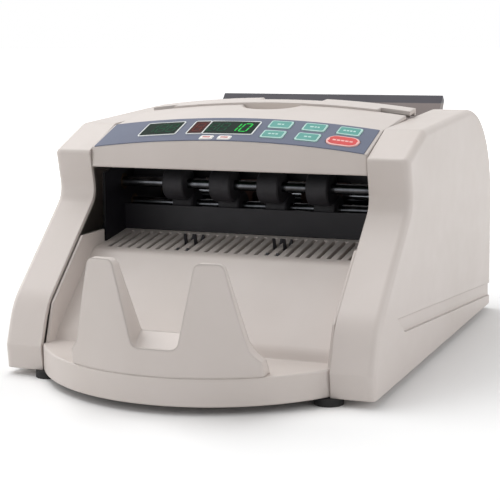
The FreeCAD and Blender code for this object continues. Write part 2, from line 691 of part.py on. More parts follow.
for i, side in enumerate((-1, 1)):
    def across(low, high):
        return (low, high) if side > 0 else (-high, -low)

    lug_span = across(lug_inner, lug_inner + s.lid_lug_wide)
    skin_low = lid_high - crown_rise - s.lid_wall / 2
    lugs.append(block(f"lid_lug_{i}", lug_span, (pivot_y - s.lid_lug_half, pivot_y + lug_reach),
                      (pivot_z - s.lid_lug_half, skin_low)))
    pin_span = across(lug_inner - s.part_gap, plate_outer)
    lug_bores.append(bar(f"lid_bore_{i}", "x", s.lid_pin_radius + s.running_gap, pin_span,
                         (pivot_y, pivot_z)))
    end_clears.append(block(f"lid_end_clear_{i}", across(between_half - s.lid_end_clear, half_width),
                            (lid_front - wall, lid_rear + wall),
                            (pivot_z - wall, lid_low - crown_rise - s.lid_wall)))
    catch_rooms.append(block(f"lid_catch_room_{i}", across(between_half - s.catch_wide, half_width),
                             (lid_front - wall, lid_front + s.catch_deep), (pivot_z - wall, lid_high + wall)))
    cover_pins.append(bar(f"lid_hinge_pin_{i}", "x", s.lid_pin_radius, pin_span, (pivot_y, pivot_z)))
    catch_span = across(between_half - s.catch_wide + s.part_gap, plate_inner)
    cover_pins.append(bar(f"lid_catch_pin_{i}", "x", s.catch_radius, catch_span,
                          (lid_front + s.catch_deep / 2, up(s.catch_height))))
lid_notch = extrude("lid_notch", section("lid_notch_section", "XZ", [
    (s.lid_notch_offset - s.lid_notch_half, lid_high - s.lid_notch_depth),
    (s.lid_notch_offset + s.lid_notch_half, lid_high - s.lid_notch_depth),
    (s.lid_notch_offset + s.lid_notch_half + s.lid_notch_lead, lid_high + s.lid_notch_depth),
    (s.lid_notch_offset - s.lid_notch_half - s.lid_notch_lead, lid_high + s.lid_notch_depth),
]), -lid_rear - wall, -lid_rear + s.lid_notch_deep)
lid_cleared = cut("lid_cleared", lid_strip, lid_notch, *end_clears, *catch_rooms)
node("access_cover", cut("lid_bored", fuse("lid_with_lugs", lid_cleared, *lugs), *lug_bores))
node("cover_pins", group("cover_pin_set", cover_pins))

# Stacker tray: round-fronted lip and floor, ramp, slotted shelf and side walls in one moulding
lip_centre = s.lip_radius - half_depth
lip_low, lip_top = up(s.lip_lift), up(s.lip_height)
tray_end = at(s.tray_rear)
tray_wall = s.tray_wall


def lip_form(name, inset, low, high):
    disc = bar(f"{name}_disc", "z", s.lip_radius - inset, (low, high), (dim(0), lip_centre))
    slab = block(f"{name}_slab", (inset - between_half, between_half - inset), (-half_depth - wall, tray_end),
                 (low, high))
    return common(name, disc, slab)


def on_lip_rim(edge):
    level = abs(edge.BoundBox.ZMin - lip_top.value) + abs(edge.BoundBox.ZMax - lip_top.value)
    return level < 1e-4 and edge.Curve.TypeId == "Part::GeomCircle"


lip_block = rounded("lip_rounded", lip_form("lip_block", dim(0), lip_low, lip_top), s.lip_round, on_lip_rim)
lip = cut("lip_shell", lip_block,
          lip_form("lip_hollow", s.cover_wall, lip_low, lip_top - tray_wall))
ramp_line = [
    (tray_end - tray_wall, lip_top),
    (tray_end, up(s.ramp_foot_height)),
    (at(s.shelf_setback), up(s.shelf_height)),
    (at(s.shelf_rear), up(s.shelf_rear_height)),
]
ramp_under = [(y, z - tray_wall) for y, z in reversed(ramp_line)]
tray_half = plate_inner - s.seam_gap
ramp_body = doc.addObject("PartDesign::Body", "tray_ramp")
ramp_half = between_half - s.seam_gap
ramp_sketch = body_sketch(ramp_body, "tray_ramp_profile", "YZ_Plane", ramp_line + ramp_under, -ramp_half)
pad(ramp_body, "tray_ramp_pad", ramp_sketch, 2 * ramp_half)
soften(ramp_body, "tray_ramp_round", s.ramp_round, runs_along("x", (0, *ramp_line[1])))
soften(ramp_body, "tray_shelf_round", s.shelf_round, runs_along("x", (0, *ramp_line[2])))
cover_slope = (s.throat_setback - s.bulge_setback) / (s.throat_height - s.bulge_height)
liner_crest = s.bulge_setback + s.liner_inset + (s.liner_top - s.bulge_height) * cover_slope
liner_line = [
    (at(s.liner_inset), lip_low + tray_wall),
    (at(s.liner_inset - s.crease_lead), up(s.crease_height)),
    (at(s.bulge_setback + s.liner_inset), up(s.bulge_height)),
    (at(liner_crest), up(s.liner_top)),
    (at(s.liner_rear), up(s.liner_top)),
    (at(s.liner_rear), up(s.shelf_height - tray_wall)),
    (at(s.shelf_setback), up(s.shelf_height - tray_wall)),
    (tray_end, up(s.ramp_foot_height) - tray_wall),
    (tray_end, lip_low + tray_wall),
]
liner_low = ramp_half - s.liner_thickness
liners = [
    extrude("liner_left", section("liner_left_line", "YZ", liner_line), -ramp_half, -liner_low),
    extrude("liner_right", section("liner_right_line", "YZ", liner_line), liner_low, ramp_half),
]
behind_liner = ((at(s.liner_rear), half_depth), (floor, up(s.liner_top) + wall))
plate_rooms = [
    block("tray_room_left", (-half_width, -tray_half), *behind_liner),
    block("tray_room_right", (tray_half, half_width), *behind_liner),
]
stacker_y, stacker_z = at(s.stacker_setback), up(s.stacker_height)
slots = []
for i in range(-int(s.slot_rows.value), int(s.slot_rows.value) + 1):
    middle = i * s.slot_pitch
    slots.append(block(f"shelf_slot_{i + int(s.slot_rows.value)}",
                       (middle - s.slot_width / 2, middle + s.slot_width / 2),
                       (stacker_y - s.slot_half, stacker_y + s.slot_half),
                       (up(s.shelf_height) - 2 * tray_wall, up(s.shelf_rear_height) + tray_wall)))
node("stacker_tray", cut("tray_slotted", fuse("tray_shell", lip, ramp_body, *liners), *slots, *plate_rooms))

# Note stop: two thin prongs over a deep foot, standing on the lip; its front follows the lip below and is
# flatter at the top, and its back leans forward in two steps
prong_top = up(s.prong_height)
valley_floor = up(s.valley_height)
knee = valley_floor + s.sill_rise


def stop_form(name, inset, back):
    """Front outline and round front, each brought in by the inset, in front of a back line."""
    half = [
        (s.stop_half - inset, lip_top),
        (s.stop_half - inset, up(s.stop_end_height) - inset / 2),
        (s.flare_half - inset, up(s.flare_height)),
        (s.prong_out - inset, prong_top - inset),
        (s.prong_in + inset, prong_top - inset),
        (s.valley_half + inset, valley_floor - inset),
    ]
    right = [(s.stop_offset + x, z) for x, z in half]
    left = [(s.stop_offset - x, z) for x, z in half]
    prism = doc.addObject("PartDesign::Body", f"{name}_front")
    sketch = body_sketch(prism, f"{name}_front_line", "XZ_Plane", right + left[::-1])
    pad(prism, f"{name}_front_pad", sketch, half_depth + wall)
    corners = [[(x, 0, z) for x, z in pair] for pair in zip(right, left)]
    soften(prism, f"{name}_tops", s.prong_round - inset / 2, runs_along("y", *corners[3], *corners[4]))
    soften(prism, f"{name}_valley", s.valley_round, runs_along("y", *corners[5]))
    soften(prism, f"{name}_flares", s.flare_round, runs_along("y", *corners[2]))
    soften(prism, f"{name}_ends", s.stop_end_round, runs_along("y", *corners[1]))
    ahead = -half_depth - wall
    wedge = extrude(f"{name}_wedge", section(f"{name}_wedge_line", "YZ", [
        (ahead, lip_top), *back, (ahead, back[-1][1]),
    ]), s.stop_offset - s.stop_half, s.stop_offset + s.stop_half)
    rounds = []
    for level, radius, height in (("foot", s.lip_radius, lip_top), ("top", s.prong_radius, prong_top)):
        ring = doc.addObject("Part::Circle", f"{name}_{level}_round")
        bind(ring, Radius=radius - s.seam_gap - inset)
        move(ring, 0, radius - half_depth, height)
        rounds.append(ring)
    face = doc.addObject("Part::Loft", f"{name}_face")
    face.Sections = rounds
    face.Solid = True
    face.Ruled = True
    return common(f"{name}_form", common(f"{name}_blank", prism, wedge), face)


stop_solid = stop_form("stop", dim(0), [
    (at(s.stop_rear), lip_top), (at(s.knee_rear), knee), (at(s.prong_rear), prong_top),
])
stop_hollow = stop_form("stop_core", s.stop_wall, [
    (at(s.stop_rear) - s.stop_wall, lip_top), (at(s.knee_rear) - s.stop_wall, knee - s.stop_wall),
])
sill_front, sill_rear = s.sill_lead - half_depth, at(s.knee_rear)
sill_low, sill_half = valley_floor - s.stop_wall / 2, s.valley_half + s.stop_wall
sill = extrude("stop_sill", section("stop_sill_line", "YZ", [
    (sill_front, sill_low), (sill_front, valley_floor), (sill_rear, knee), (sill_rear, sill_low),
]), s.stop_offset - sill_half, s.stop_offset + sill_half)
node("note_stop", fuse("stop_with_sill", cut("stop_hollowed", stop_solid, stop_hollow), sill))

# Shaft places
pinch_y, pinch_z = at(s.pinch_setback), up(s.pinch_height)
nip = s.pinch_radius + s.transport_radius + s.nip_gap
transport_y, transport_z = pinch_y + nip * cosine(s.nip_angle), pinch_z - nip * sine(s.nip_angle)
feed_y, feed_z = at(s.feed_setback), up(s.feed_height)
retard_reach = s.feed_radius + s.retard_radius + s.retard_gap
retard_y = feed_y - retard_reach * cosine(s.retard_angle)
retard_z = feed_z + retard_reach * sine(s.retard_angle)
hopper_y, hopper_z = at(s.hopper_setback), up(s.hopper_height)


def hopper_top(y):
    return hopper_z + (y - hopper_y) * tangent(s.hopper_tilt)


pickup_y = at(s.pickup_setback)
pickup_z = hopper_top(pickup_y) + s.pickup_rise - s.pickup_radius
motor_y, motor_z = at(s.motor_setback), up(s.motor_height)
rod_y, rod_z = at(s.guide_rod_setback), up(s.guide_rod_height)
SHAFTS = {"feed": (feed_y, feed_z), "transport": (transport_y, transport_z), "pinch": (pinch_y, pinch_z),
          "stacker": (stacker_y, stacker_z), "pickup": (pickup_y, pickup_z), "retard": (retard_y, retard_z)}

# Side plates: bent-steel walls that carry every shaft, bored for the bushes and the motor
plate_line = [
    (at(s.plate_front), pan_top),
    (at(s.plate_front), up(s.plate_brow)),
    (pivot_y - 2 * s.lid_lug_half, up(s.plate_brow) + 4 * s.lid_lug_half),
    (pivot_y - s.lid_lug_half, pivot_z + s.lid_lug_half),
    (pivot_y + s.lid_lug_half, pivot_z + s.lid_lug_half),
    (pivot_y + s.lid_lug_half, pivot_z - s.lid_sweep_drop),
    (pivot_y + s.lid_sweep, pivot_z - s.lid_sweep_drop),
    (pivot_y + s.lid_sweep, pivot_z),
    (at(s.plate_slope), up(s.plate_top)),
    (plate_rear, up(s.plate_rear_top)),
    (plate_rear, pan_top),
]
for name, side in (("left_side_plate", -1), ("right_side_plate", 1)):
    blank = extrude(f"{name}_blank", section(f"{name}_line", "YZ", plate_line),
                    *((-plate_outer, -plate_inner) if side < 0 else (plate_inner, plate_outer)))
    span = (-half_width, -dim(0)) if side < 0 else (dim(0), half_width)
    bores = [bar(f"{name}_{shaft}_bore", "x", s.bush_radius + s.running_gap, span, spot)
             for shaft, spot in SHAFTS.items()]
    bores.append(bar(f"{name}_pin_bore", "x", s.lid_pin_radius + s.hub_gap, span, (pivot_y, pivot_z)))
    if side < 0:
        bores.append(bar(f"{name}_motor_bore", "x", s.motor_hole, span, (motor_y, motor_z)))
    node(name, cut(f"{name}_bored", blank, *bores))

# Tie rods between the side plates; the upper one also guides the note guides
rods = [
    bar("front_tie_rod", "x", s.tie_radius, (-plate_inner, plate_inner),
        (at(s.tie_front_setback), up(s.tie_front_height))),
    bar("rear_tie_rod", "x", s.tie_radius, (-plate_inner, plate_inner),
        (at(s.tie_rear_setback), up(s.tie_rear_height))),
    bar("guide_tie_rod", "x", s.guide_rod_radius, (-plate_inner, plate_inner), (rod_y, rod_z)),
]
node("tie_rods", group("tie_rod_set", rods))

# Bushes: flanged sleeves in the side plates
bushes = []
for shaft, (y, z) in SHAFTS.items():
    for i, side in enumerate((-1, 1)):
        bore, sleeve = s.shaft_radius + s.running_gap, s.bush_radius
        reach = plate_outer + s.bush_flange_thick
        profile = [(side * plate_inner, bore), (side * reach, bore), (side * reach, s.bush_flange),
                   (side * plate_outer, s.bush_flange), (side * plate_outer, sleeve),
                   (side * plate_inner, sleeve)]
        bushes.append(turned(f"{shaft}_bush_{i}", profile, y, z))
node("shaft_bushes", group("shaft_bush_set", bushes))

# Throat panel: dark wall between the shelf and the rollers
throat_y = at(s.shelf_rear)
node("throat_panel", block("throat_sheet", (-plate_inner, plate_inner),
                           (throat_y - s.nip_gap, throat_y - s.nip_gap + s.panel_thickness),
                           (up(s.shelf_rear_height) + s.nip_gap, up(s.throat_panel_height))))

# Drive planes outside the side plates
plane_one = (plate_outer + s.pulley_clear, plate_outer + s.pulley_clear + s.pulley_wide)
plane_two = (plane_one[1] + s.pulley_space, plane_one[1] + s.pulley_space + s.pulley_wide)
bore = s.shaft_radius + s.hub_gap
stub = plate_outer + s.shaft_overrun


def pulley_profile(side, plane, seat, hole):
    low, high = plane
    lip, flange = seat + s.pulley_lip, s.pulley_flange
    points = [(low, hole), (high, hole), (high, lip), (high - flange, lip), (high - flange, seat),
              (low + flange, seat), (low + flange, lip), (low, lip)]
    return [(side * x, radius) for x, radius in points]


def pulley(name, side, plane, seat, spot):
    return turned(name, pulley_profile(side, plane, seat, bore), *spot)


def shaft(name, low, high, spot):
    node(name, bar(f"{name}_rod", "x", s.shaft_radius, (low, high), spot))


# Pinch shaft and its four rollers, seen under the fascia
shaft("pinch_shaft", -stub, stub, SHAFTS["pinch"])
PITCHES = (-1.5, -0.5, 0.5, 1.5)
node("pinch_rollers", group("pinch_roller_set", [
    roller(f"pinch_roller_{i}", step * s.roller_pitch, s.pinch_wide, s.pinch_radius, bore, *SHAFTS["pinch"])
    for i, step in enumerate(PITCHES)]))

# Transport shaft, the rollers that face the pinch rollers, and its two pulleys
shaft("transport_shaft", -plane_two[1] - s.part_gap, stub, SHAFTS["transport"])
node("transport_rollers", group("transport_roller_set", [
    roller(f"transport_roller_{i}", step * s.roller_pitch, s.pinch_wide, s.transport_radius, bore,
           *SHAFTS["transport"]) for i, step in enumerate(PITCHES)]))
node("transport_pulleys", group("transport_pulley_pair", [
    pulley("transport_feed_pulley", -1, plane_two, s.transport_seat, SHAFTS["transport"]),
    pulley("transport_stacker_pulley", -1, plane_one, s.transport_stacker_seat, SHAFTS["transport"])]))

# Feed shaft with two rubber rollers and three pulleys
shaft("feed_shaft", -plane_two[1] - s.part_gap, plane_one[1] + s.part_gap, SHAFTS["feed"])
node("feed_rollers", group("feed_roller_pair", [
    roller(f"feed_roller_{i}", side * s.feed_offset, s.feed_wide, s.feed_radius, bore, *SHAFTS["feed"])
    for i, side in enumerate((-1, 1))]))
node("feed_pulleys", group("feed_pulley_set", [
    pulley("feed_motor_pulley", -1, plane_one, s.feed_motor_seat, SHAFTS["feed"]),
    pulley("feed_transport_pulley", -1, plane_two, s.feed_transport_seat, SHAFTS["feed"]),
    pulley("feed_pickup_pulley", 1, plane_one, s.pickup_seat, SHAFTS["feed"])]))

# Pick-up shaft under the hopper floor
shaft("pickup_shaft", -stub, plane_one[1] + s.part_gap, SHAFTS["pickup"])
node("pickup_rollers", group("pickup_roller_pair", [
    roller(f"pickup_roller_{i}", side * s.pickup_offset, s.pickup_wide, s.pickup_radius, bore,
           *SHAFTS["pickup"])
    for i, side in enumerate((-1, 1))]))
node("pickup_pulley", pulley("pickup_drive_pulley", 1, plane_one, s.pickup_seat, SHAFTS["pickup"]))

# Retard shaft: brake rollers a little off its centre, turned by a thumbwheel to set the feed gap
shaft("retard_shaft", -stub, stub, SHAFTS["retard"])
retard_bore = bore + s.retard_throw
node("retard_rollers", group("retard_roller_pair", [
    roller(f"retard_roller_{i}", side * s.feed_offset, s.retard_wide, s.retard_radius, retard_bore,
           retard_y + s.retard_throw, retard_z) for i, side in enumerate((-1, 1))]))
wheel = roller("thumbwheel_blank", dim(0), s.thumbwheel_wide, s.thumbwheel_radius, bore, *SHAFTS["retard"])
notches = []
for i in range(int(s.thumbwheel_notches.value)):
    angle = math.radians(360 / s.thumbwheel_notches.value * i)
    notches.append(bar(f"thumbwheel_notch_{i}", "x", s.thumbwheel_notch,
                       (-s.thumbwheel_wide, s.thumbwheel_wide),
                       (retard_y + s.thumbwheel_radius * math.cos(angle),
                        retard_z + s.thumbwheel_radius * math.sin(angle))))
node("gap_thumbwheel", cut("thumbwheel_knurled", wheel, *notches))

# Stacker shaft with thin finger wheels that turn in the shelf's slots
shaft("stacker_shaft", -plane_one[1] - s.part_gap, stub, SHAFTS["stacker"])
wheels = []
for i, step in enumerate((-1, -0.8, 0.8, 1)):
    slot = round(step * s.stacker_slot.value)
    middle = slot * s.slot_pitch
    low, high = middle - s.stacker_thick / 2, middle + s.stacker_thick / 2
    body = doc.addObject("PartDesign::Body", f"finger_wheel_{i}")
    hub = body_sketch(body, f"finger_hub_line_{i}", "XY_Plane",
                      [(low, bore), (high, bore), (high, s.stacker_hub), (low, s.stacker_hub)])
    spin = body.newObject("PartDesign::Revolution", f"finger_hub_{i}")
    spin.Profile = hub
    spin.ReferenceAxis = (hub, ["H_Axis"])
    spin.Angle = 360
    doc.recompute()
    tip = root(s.stacker_radius * s.stacker_radius - s.finger_sweep * s.finger_sweep)
    finger = body_sketch(body, f"finger_line_{i}", "YZ_Plane", [
        (-s.finger_wide / 2, s.stacker_hub - s.finger_wide / 2),
        (s.finger_wide / 2, s.stacker_hub - s.finger_wide / 2),
        (-s.finger_sweep + s.finger_wide / 2, tip),
        (-s.finger_sweep, tip),
    ], low)
    arm = pad(body, f"finger_{i}", finger, s.stacker_thick)
    ring = body.newObject("PartDesign::PolarPattern", f"finger_ring_{i}")
    ring.Originals = [arm]
    ring.Axis = (next(line for line in body.Origin.OriginFeatures if line.Role == "X_Axis"), [""])
    ring.Angle = 360
    bind(ring, Occurrences=s.finger_count)
    body.Tip = ring
    move(body, 0, *SHAFTS["stacker"])
    wheels.append(body)
node("stacker_wheels", group("stacker_wheel_set", wheels))
node("stacker_pulley", pulley("stacker_drive_pulley", -1, plane_one, s.stacker_seat, SHAFTS["stacker"]))

# Motor on the left side plate, with its shaft and pulley as one turned piece
motor_can = bar("motor_can", "x", s.motor_radius, (-plate_inner, s.motor_length - plate_inner),
                (motor_y, motor_z))
motor_bore = bar("motor_bore", "x", s.motor_shaft_radius + s.running_gap,
                 (-plate_inner, s.motor_shaft_depth - plate_inner), (motor_y, motor_z))
node("drive_motor", cut("motor_bored", motor_can, motor_bore))
spindle_end = plate_inner - s.motor_shaft_depth + s.part_gap
spindle = [(-x, radius) for x, radius in (
    (spindle_end, dim(0)), (plane_one[1], dim(0)), (plane_one[1], s.motor_seat + s.pulley_lip),
    (plane_one[1] - s.pulley_flange, s.motor_seat + s.pulley_lip),
    (plane_one[1] - s.pulley_flange, s.motor_seat),
    (plane_one[0] + s.pulley_flange, s.motor_seat),
    (plane_one[0] + s.pulley_flange, s.motor_seat + s.pulley_lip),
    (plane_one[0], s.motor_seat + s.pulley_lip), (plane_one[0], s.motor_shaft_radius),
    (spindle_end, s.motor_shaft_radius))]
node("motor_pulley", turned("motor_spindle", spindle, motor_y, motor_z))


def belt(name, side, plane, first, first_seat, second, second_seat):
    """Loop of flat belt round two pulleys: tangent runs joined by the arcs of the pulleys."""
    start, end = [Vector(0, spot[0].value, spot[1].value) for spot in (first, second)]
    run = (end - start).Length
    along = (end - start) / run
    aside = Vector(0, -along.z, along.y)
    low = plane[0].value + s.pulley_flange.value + s.belt_gap.value
    wide = plane[1].value - plane[0].value - 2 * (s.pulley_flange.value + s.belt_gap.value)
    x = low if side > 0 else -low - wide

    def loop(grow):
        radii = [seat.value + s.belt_gap.value + grow for seat in (first_seat, second_seat)]
        lean = (radii[0] - radii[1]) / run
        square = math.sqrt(1 - lean * lean)
        spots = {}
        for tag, centre, radius in (("a", start, radii[0]), ("b", end, radii[1])):
            for sign in (1, -1):
                spots[tag, sign] = centre + (along * lean + aside * sign * square) * radius
        far = end + along * radii[1]
        near = start - along * radii[0]
        edges = [Part.LineSegment(spots["a", 1], spots["b", 1]).toShape(),
                 Part.Arc(spots["b", 1], far, spots["b", -1]).toShape(),
                 Part.LineSegment(spots["b", -1], spots["a", -1]).toShape(),
                 Part.Arc(spots["a", -1], near, spots["a", 1]).toShape()]
        return Part.Face(Part.Wire(edges))

    ring = loop(s.belt_thickness.value).cut(loop(0)).extrude(Vector(wide, 0, 0))
    piece = doc.addObject("Part::Feature", name)
    piece.Shape = ring.Solids[0]
    piece.Placement = Placement(Vector(x, 0, 0), Rotation())
    return piece


node("drive_belts", group("drive_belt_set", [
    belt("motor_belt", -1, plane_one, (motor_y, motor_z), s.motor_seat, SHAFTS["feed"], s.feed_motor_seat),
    belt("transport_belt", -1, plane_two, SHAFTS["feed"], s.feed_transport_seat, SHAFTS["transport"],
         s.transport_seat),
    belt("stacker_belt", -1, plane_one, SHAFTS["transport"], s.transport_stacker_seat, SHAFTS["stacker"],
         s.stacker_seat),
    belt("pickup_belt", 1, plane_one, SHAFTS["feed"], s.pickup_seat, SHAFTS["pickup"], s.pickup_seat)]))

# Hopper floor: sloped sheet with windows for the pick-up rollers and slots for the note guides
hopper_end = at(s.hopper_rear)
floor_sheet = extrude("hopper_sheet", section("hopper_line", "YZ", [
    (hopper_y, hopper_z),
    (hopper_end, hopper_top(hopper_end)),
    (hopper_end, hopper_top(hopper_end) - s.hopper_wall),
    (hopper_y, hopper_z - s.hopper_wall),
]), -plate_inner, plate_inner)
deep = 4 * s.hopper_wall
openings = []
guide_outer = plate_inner - s.guide_room
for i, side in enumerate((-1, 1)):
    half = s.pickup_wide / 2 + s.part_gap
    middle = side * s.pickup_offset
    openings.append(block(f"pickup_window_{i}", (middle - half, middle + half),
                          (pickup_y - s.pickup_radius, pickup_y + s.pickup_radius),
                          (hopper_top(pickup_y) - deep, hopper_top(pickup_y) + deep)))
    inside = guide_outer - s.guide_foot_wide - s.guide_travel - s.part_gap
    slot_span = (inside, guide_outer + s.part_gap)
    openings.append(block(f"guide_slot_{i}", slot_span if side > 0 else (-slot_span[1], -slot_span[0]),
                          (rod_y - s.guide_foot_half - s.part_gap, rod_y + s.guide_foot_half + s.part_gap),
                          (hopper_top(rod_y) - deep, hopper_top(rod_y) + deep)))
node("hopper_floor", cut("hopper_floor_cut", floor_sheet, *openings))

# Hopper front guide: sheet that leads the notes down to the feed rollers
front_high = (at(s.hopper_front_top_setback), up(s.hopper_front_top_height))
front_low = (at(s.hopper_front_low_setback), up(s.hopper_front_low_height))
node("hopper_front", extrude("hopper_front_sheet", section("hopper_front_line", "YZ", [
    front_low,
    front_high,
    (front_high[0] - s.hopper_wall, front_high[1]),
    (front_low[0] - s.hopper_wall, front_low[1]),
]), -plate_inner, plate_inner))

# Note guides: upright side stops that slide across on the guide rod
for name, side in (("left_note_guide", -1), ("right_note_guide", 1)):
    def span(low, high):
        return (low, high) if side > 0 else (-high, -low)

    gap = s.part_gap
    guide_front, guide_rear = at(s.guide_front), at(s.guide_rear)
    fence = extrude(f"{name}_fence", section(f"{name}_line", "YZ", [
        (guide_front, hopper_top(guide_front) + gap),
        (guide_rear, hopper_top(guide_rear) + gap),
        (guide_rear, up(s.guide_top)),
        (guide_front + s.guide_foot_wide, up(s.guide_top)),
        (guide_front, up(s.guide_top) - s.guide_foot_wide),
    ]), *span(guide_outer - s.guide_thickness, guide_outer))
    foot = block(f"{name}_foot", span(guide_outer - s.guide_foot_wide, guide_outer),
                 (rod_y - s.guide_foot_half, rod_y + s.guide_foot_half),
                 (rod_z - 2 * s.guide_rod_radius, hopper_top(rod_y) + 4 * gap))
    ring_span = span(guide_outer - s.guide_foot_wide, guide_outer)
    ring = bar(f"{name}_ring", "x", 2 * s.guide_rod_radius, ring_span, (rod_y, rod_z))
    hole_span = span(dim(0), half_width)
    hole = bar(f"{name}_hole", "x", s.guide_rod_radius + s.running_gap, hole_span, (rod_y, rod_z))
    node(name, cut(f"{name}_bored", fuse(f"{name}_solid", fence, foot, ring), hole))

# Smoked hopper plate: leaning note rest with a rim bar along its top and a gusset behind each end
rest_half, rest_long = between_half - s.note_rest_room, s.note_rest_length
rest_parts = [
    block("rest_sheet", (-rest_half, rest_half), (dim(0), s.note_rest_thickness), (dim(0), rest_long)),
    block("rest_rim", (-rest_half, rest_half), (dim(0), s.rim_deep), (rest_long - s.rim_tall, rest_long)),
]
for i, side in enumerate((-1, 1)):
    line = section(f"rest_gusset_line_{i}", "YZ", [
        (dim(0), s.gusset_low),
        (dim(0), rest_long),
        (s.rim_deep, rest_long),
        (s.gusset_deep, rest_long - s.gusset_high),
        (s.note_rest_thickness, s.gusset_low),
    ])
    ends = (rest_half - s.gusset_wide, rest_half) if side > 0 else (-rest_half, s.gusset_wide - rest_half)
    rest_parts.append(extrude(f"rest_gusset_{i}", line, *ends))
rest = fuse("rest_plate", *rest_parts)
rest.Placement = Placement(Vector(), Rotation(Vector(1, 0, 0), -s.note_rest_tilt.value))
move(rest, 0, at(s.note_rest_setback), up(s.note_rest_height))
node("hopper_plate", rest)

# Rear cover: bent panel with openings for the mains inlet, the rocker and its screws
back = half_depth - s.rear_recess
bend = [
    (back, up(s.lip_lift)),
    (back, up(s.rear_knee_height)),
    (back - s.rear_bend_lead, up(s.rear_bend_height)),
    (rear_top_y, up(s.note_rest_height + s.rear_lap)),
]
inward = [(y - s.rear_wall, z - s.rear_wall / 2) for y, z in reversed(bend[1:])]
rear_line = section("rear_line", "YZ", bend + inward + [(back - s.rear_wall, up(s.lip_lift))])
rear_sheet = extrude("rear_sheet", rear_line, -between_half, between_half)
inlet_x = (s.inlet_left, s.inlet_left + s.inlet_wide)
inlet_z = (up(s.inlet_low), up(s.inlet_low + s.inlet_tall))
inlet_front = back - s.inlet_deep
fit = s.running_gap
inlet_hole = block("inlet_hole", (inlet_x[0] - fit, inlet_x[1] + fit), (inlet_front, half_depth),
                   (inlet_z[0] - fit, inlet_z[1] + fit))
rocker_x = (s.rocker_left, s.rocker_left + s.rocker_wide)
rocker_z = up(s.rocker_height)
rocker_open = s.rocker_half + s.rocker_room
rocker_hole = block("rocker_hole", (rocker_x[0] - s.nip_gap, rocker_x[1] + s.nip_gap),
                    (inlet_front, half_depth), (rocker_z - rocker_open, rocker_z + rocker_open))
rocker_pivot = back - s.rear_wall / 2
pin_reach = (rocker_x[0] - s.rocker_pin_reach, rocker_x[1] + s.rocker_pin_reach)
pin_room = (pin_reach[0] - s.nip_gap, pin_reach[1] + s.nip_gap)
pin_hole = bar("rocker_pin_hole", "x", s.rocker_pin + s.running_gap, pin_room, (rocker_pivot, rocker_z))
SCREWS = [(x, up(height)) for x in (s.screw_inset - between_half, between_half - s.screw_inset)
          for height in (s.screw_low, s.screw_high)]
screw_holes = [bar(f"screw_hole_{i}", "y", s.screw_shank + s.running_gap, (inlet_front, half_depth), spot)
               for i, spot in enumerate(SCREWS)]
node("rear_cover", cut("rear_cover_cut", rear_sheet, inlet_hole, rocker_hole, pin_hole, *screw_holes))
screws = []
for i, spot in enumerate(SCREWS):
    head = bar(f"screw_head_{i}", "y", s.screw_radius, (back, back + s.screw_head), spot)
    shank = bar(f"screw_shank_{i}", "y", s.screw_shank, (back - s.screw_length, back), spot)
    screws.append(fuse(f"rear_screw_{i}", head, shank))
node("rear_screws", group("rear_screw_set", screws))

# Mains inlet: flanged socket with three blades
rim = s.inlet_rim
flange = block("inlet_flange", (inlet_x[0] - rim, inlet_x[1] + rim), (back, half_depth),
               (inlet_z[0] - rim, inlet_z[1] + rim))
socket = block("inlet_socket", inlet_x, (inlet_front, back), inlet_z)
skin = s.inlet_wall
cavity = block("inlet_cavity", (inlet_x[0] + skin, inlet_x[1] - skin),
               (half_depth - s.inlet_cavity, half_depth), (inlet_z[0] + skin, inlet_z[1] - skin))
inlet_mid = (inlet_x[0] + s.inlet_wide / 2, inlet_z[0] + s.inlet_tall / 2)
blades = []
for i, step in enumerate((-1, 0, 1)):
    x = inlet_mid[0] + step * s.blade_pitch
    lift = s.blade_tall / 2 if step == 0 else -s.blade_tall / 4
    blades.append(block(f"inlet_blade_{i}", (x - s.blade_wide / 2, x + s.blade_wide / 2),
                        (half_depth - s.inlet_cavity, half_depth - s.inlet_cavity + s.blade_length),
                        (inlet_mid[1] + lift - s.blade_tall / 2, inlet_mid[1] + lift + s.blade_tall / 2)))
inlet_box = cut("inlet_box", fuse("inlet_solid", flange, socket), cavity)
node("mains_inlet", fuse("inlet_with_blades", inlet_box, *blades))

# Power rocker: dished button that tips on two stub pins in the rear cover's opening
rocker_back = s.rocker_face - s.rocker_deep
rocker_button = extrude("rocker_button", section("rocker_line", "YZ", [
    (rocker_back, -s.rocker_half),
    (s.rocker_face, -s.rocker_half),
    (s.rocker_face - s.rocker_dip, dim(0)),
    (s.rocker_face, s.rocker_half),
    (rocker_back, s.rocker_half),
]), *rocker_x)
rocker_pins = bar("rocker_pins", "x", s.rocker_pin, pin_reach, (dim(0), dim(0)))
rocker = fuse("rocker_with_pins", rocker_button, rocker_pins)
rocker.Placement = Placement(Vector(), Rotation(Vector(1, 0, 0), s.rocker_tilt.value))
move(rocker, 0, rocker_pivot, rocker_z)
node("power_rocker", rocker)

# Main board with its larger parts
board_top = board_low + s.board_thickness
main_sheet = block("main_sheet", (-s.main_board_half, s.main_board_half), (board_front, board_rear),
                   (board_low, board_top))
chip_y = board_front + s.chip_side
main_parts = [
    block("main_chip", (-s.chip_side, dim(0)), (chip_y, chip_y + s.chip_side),
          (board_top, board_top + s.chip_tall)),
    bar("main_can_one", "z", s.can_radius, (board_low, board_top + s.can_tall), (s.chip_side, chip_y)),
    bar("main_can_two", "z", s.can_radius, (board_low, board_top + s.can_tall), (2 * s.chip_side, chip_y)),
]
node("main_board", fuse("main_board_solid", main_sheet, *main_parts))

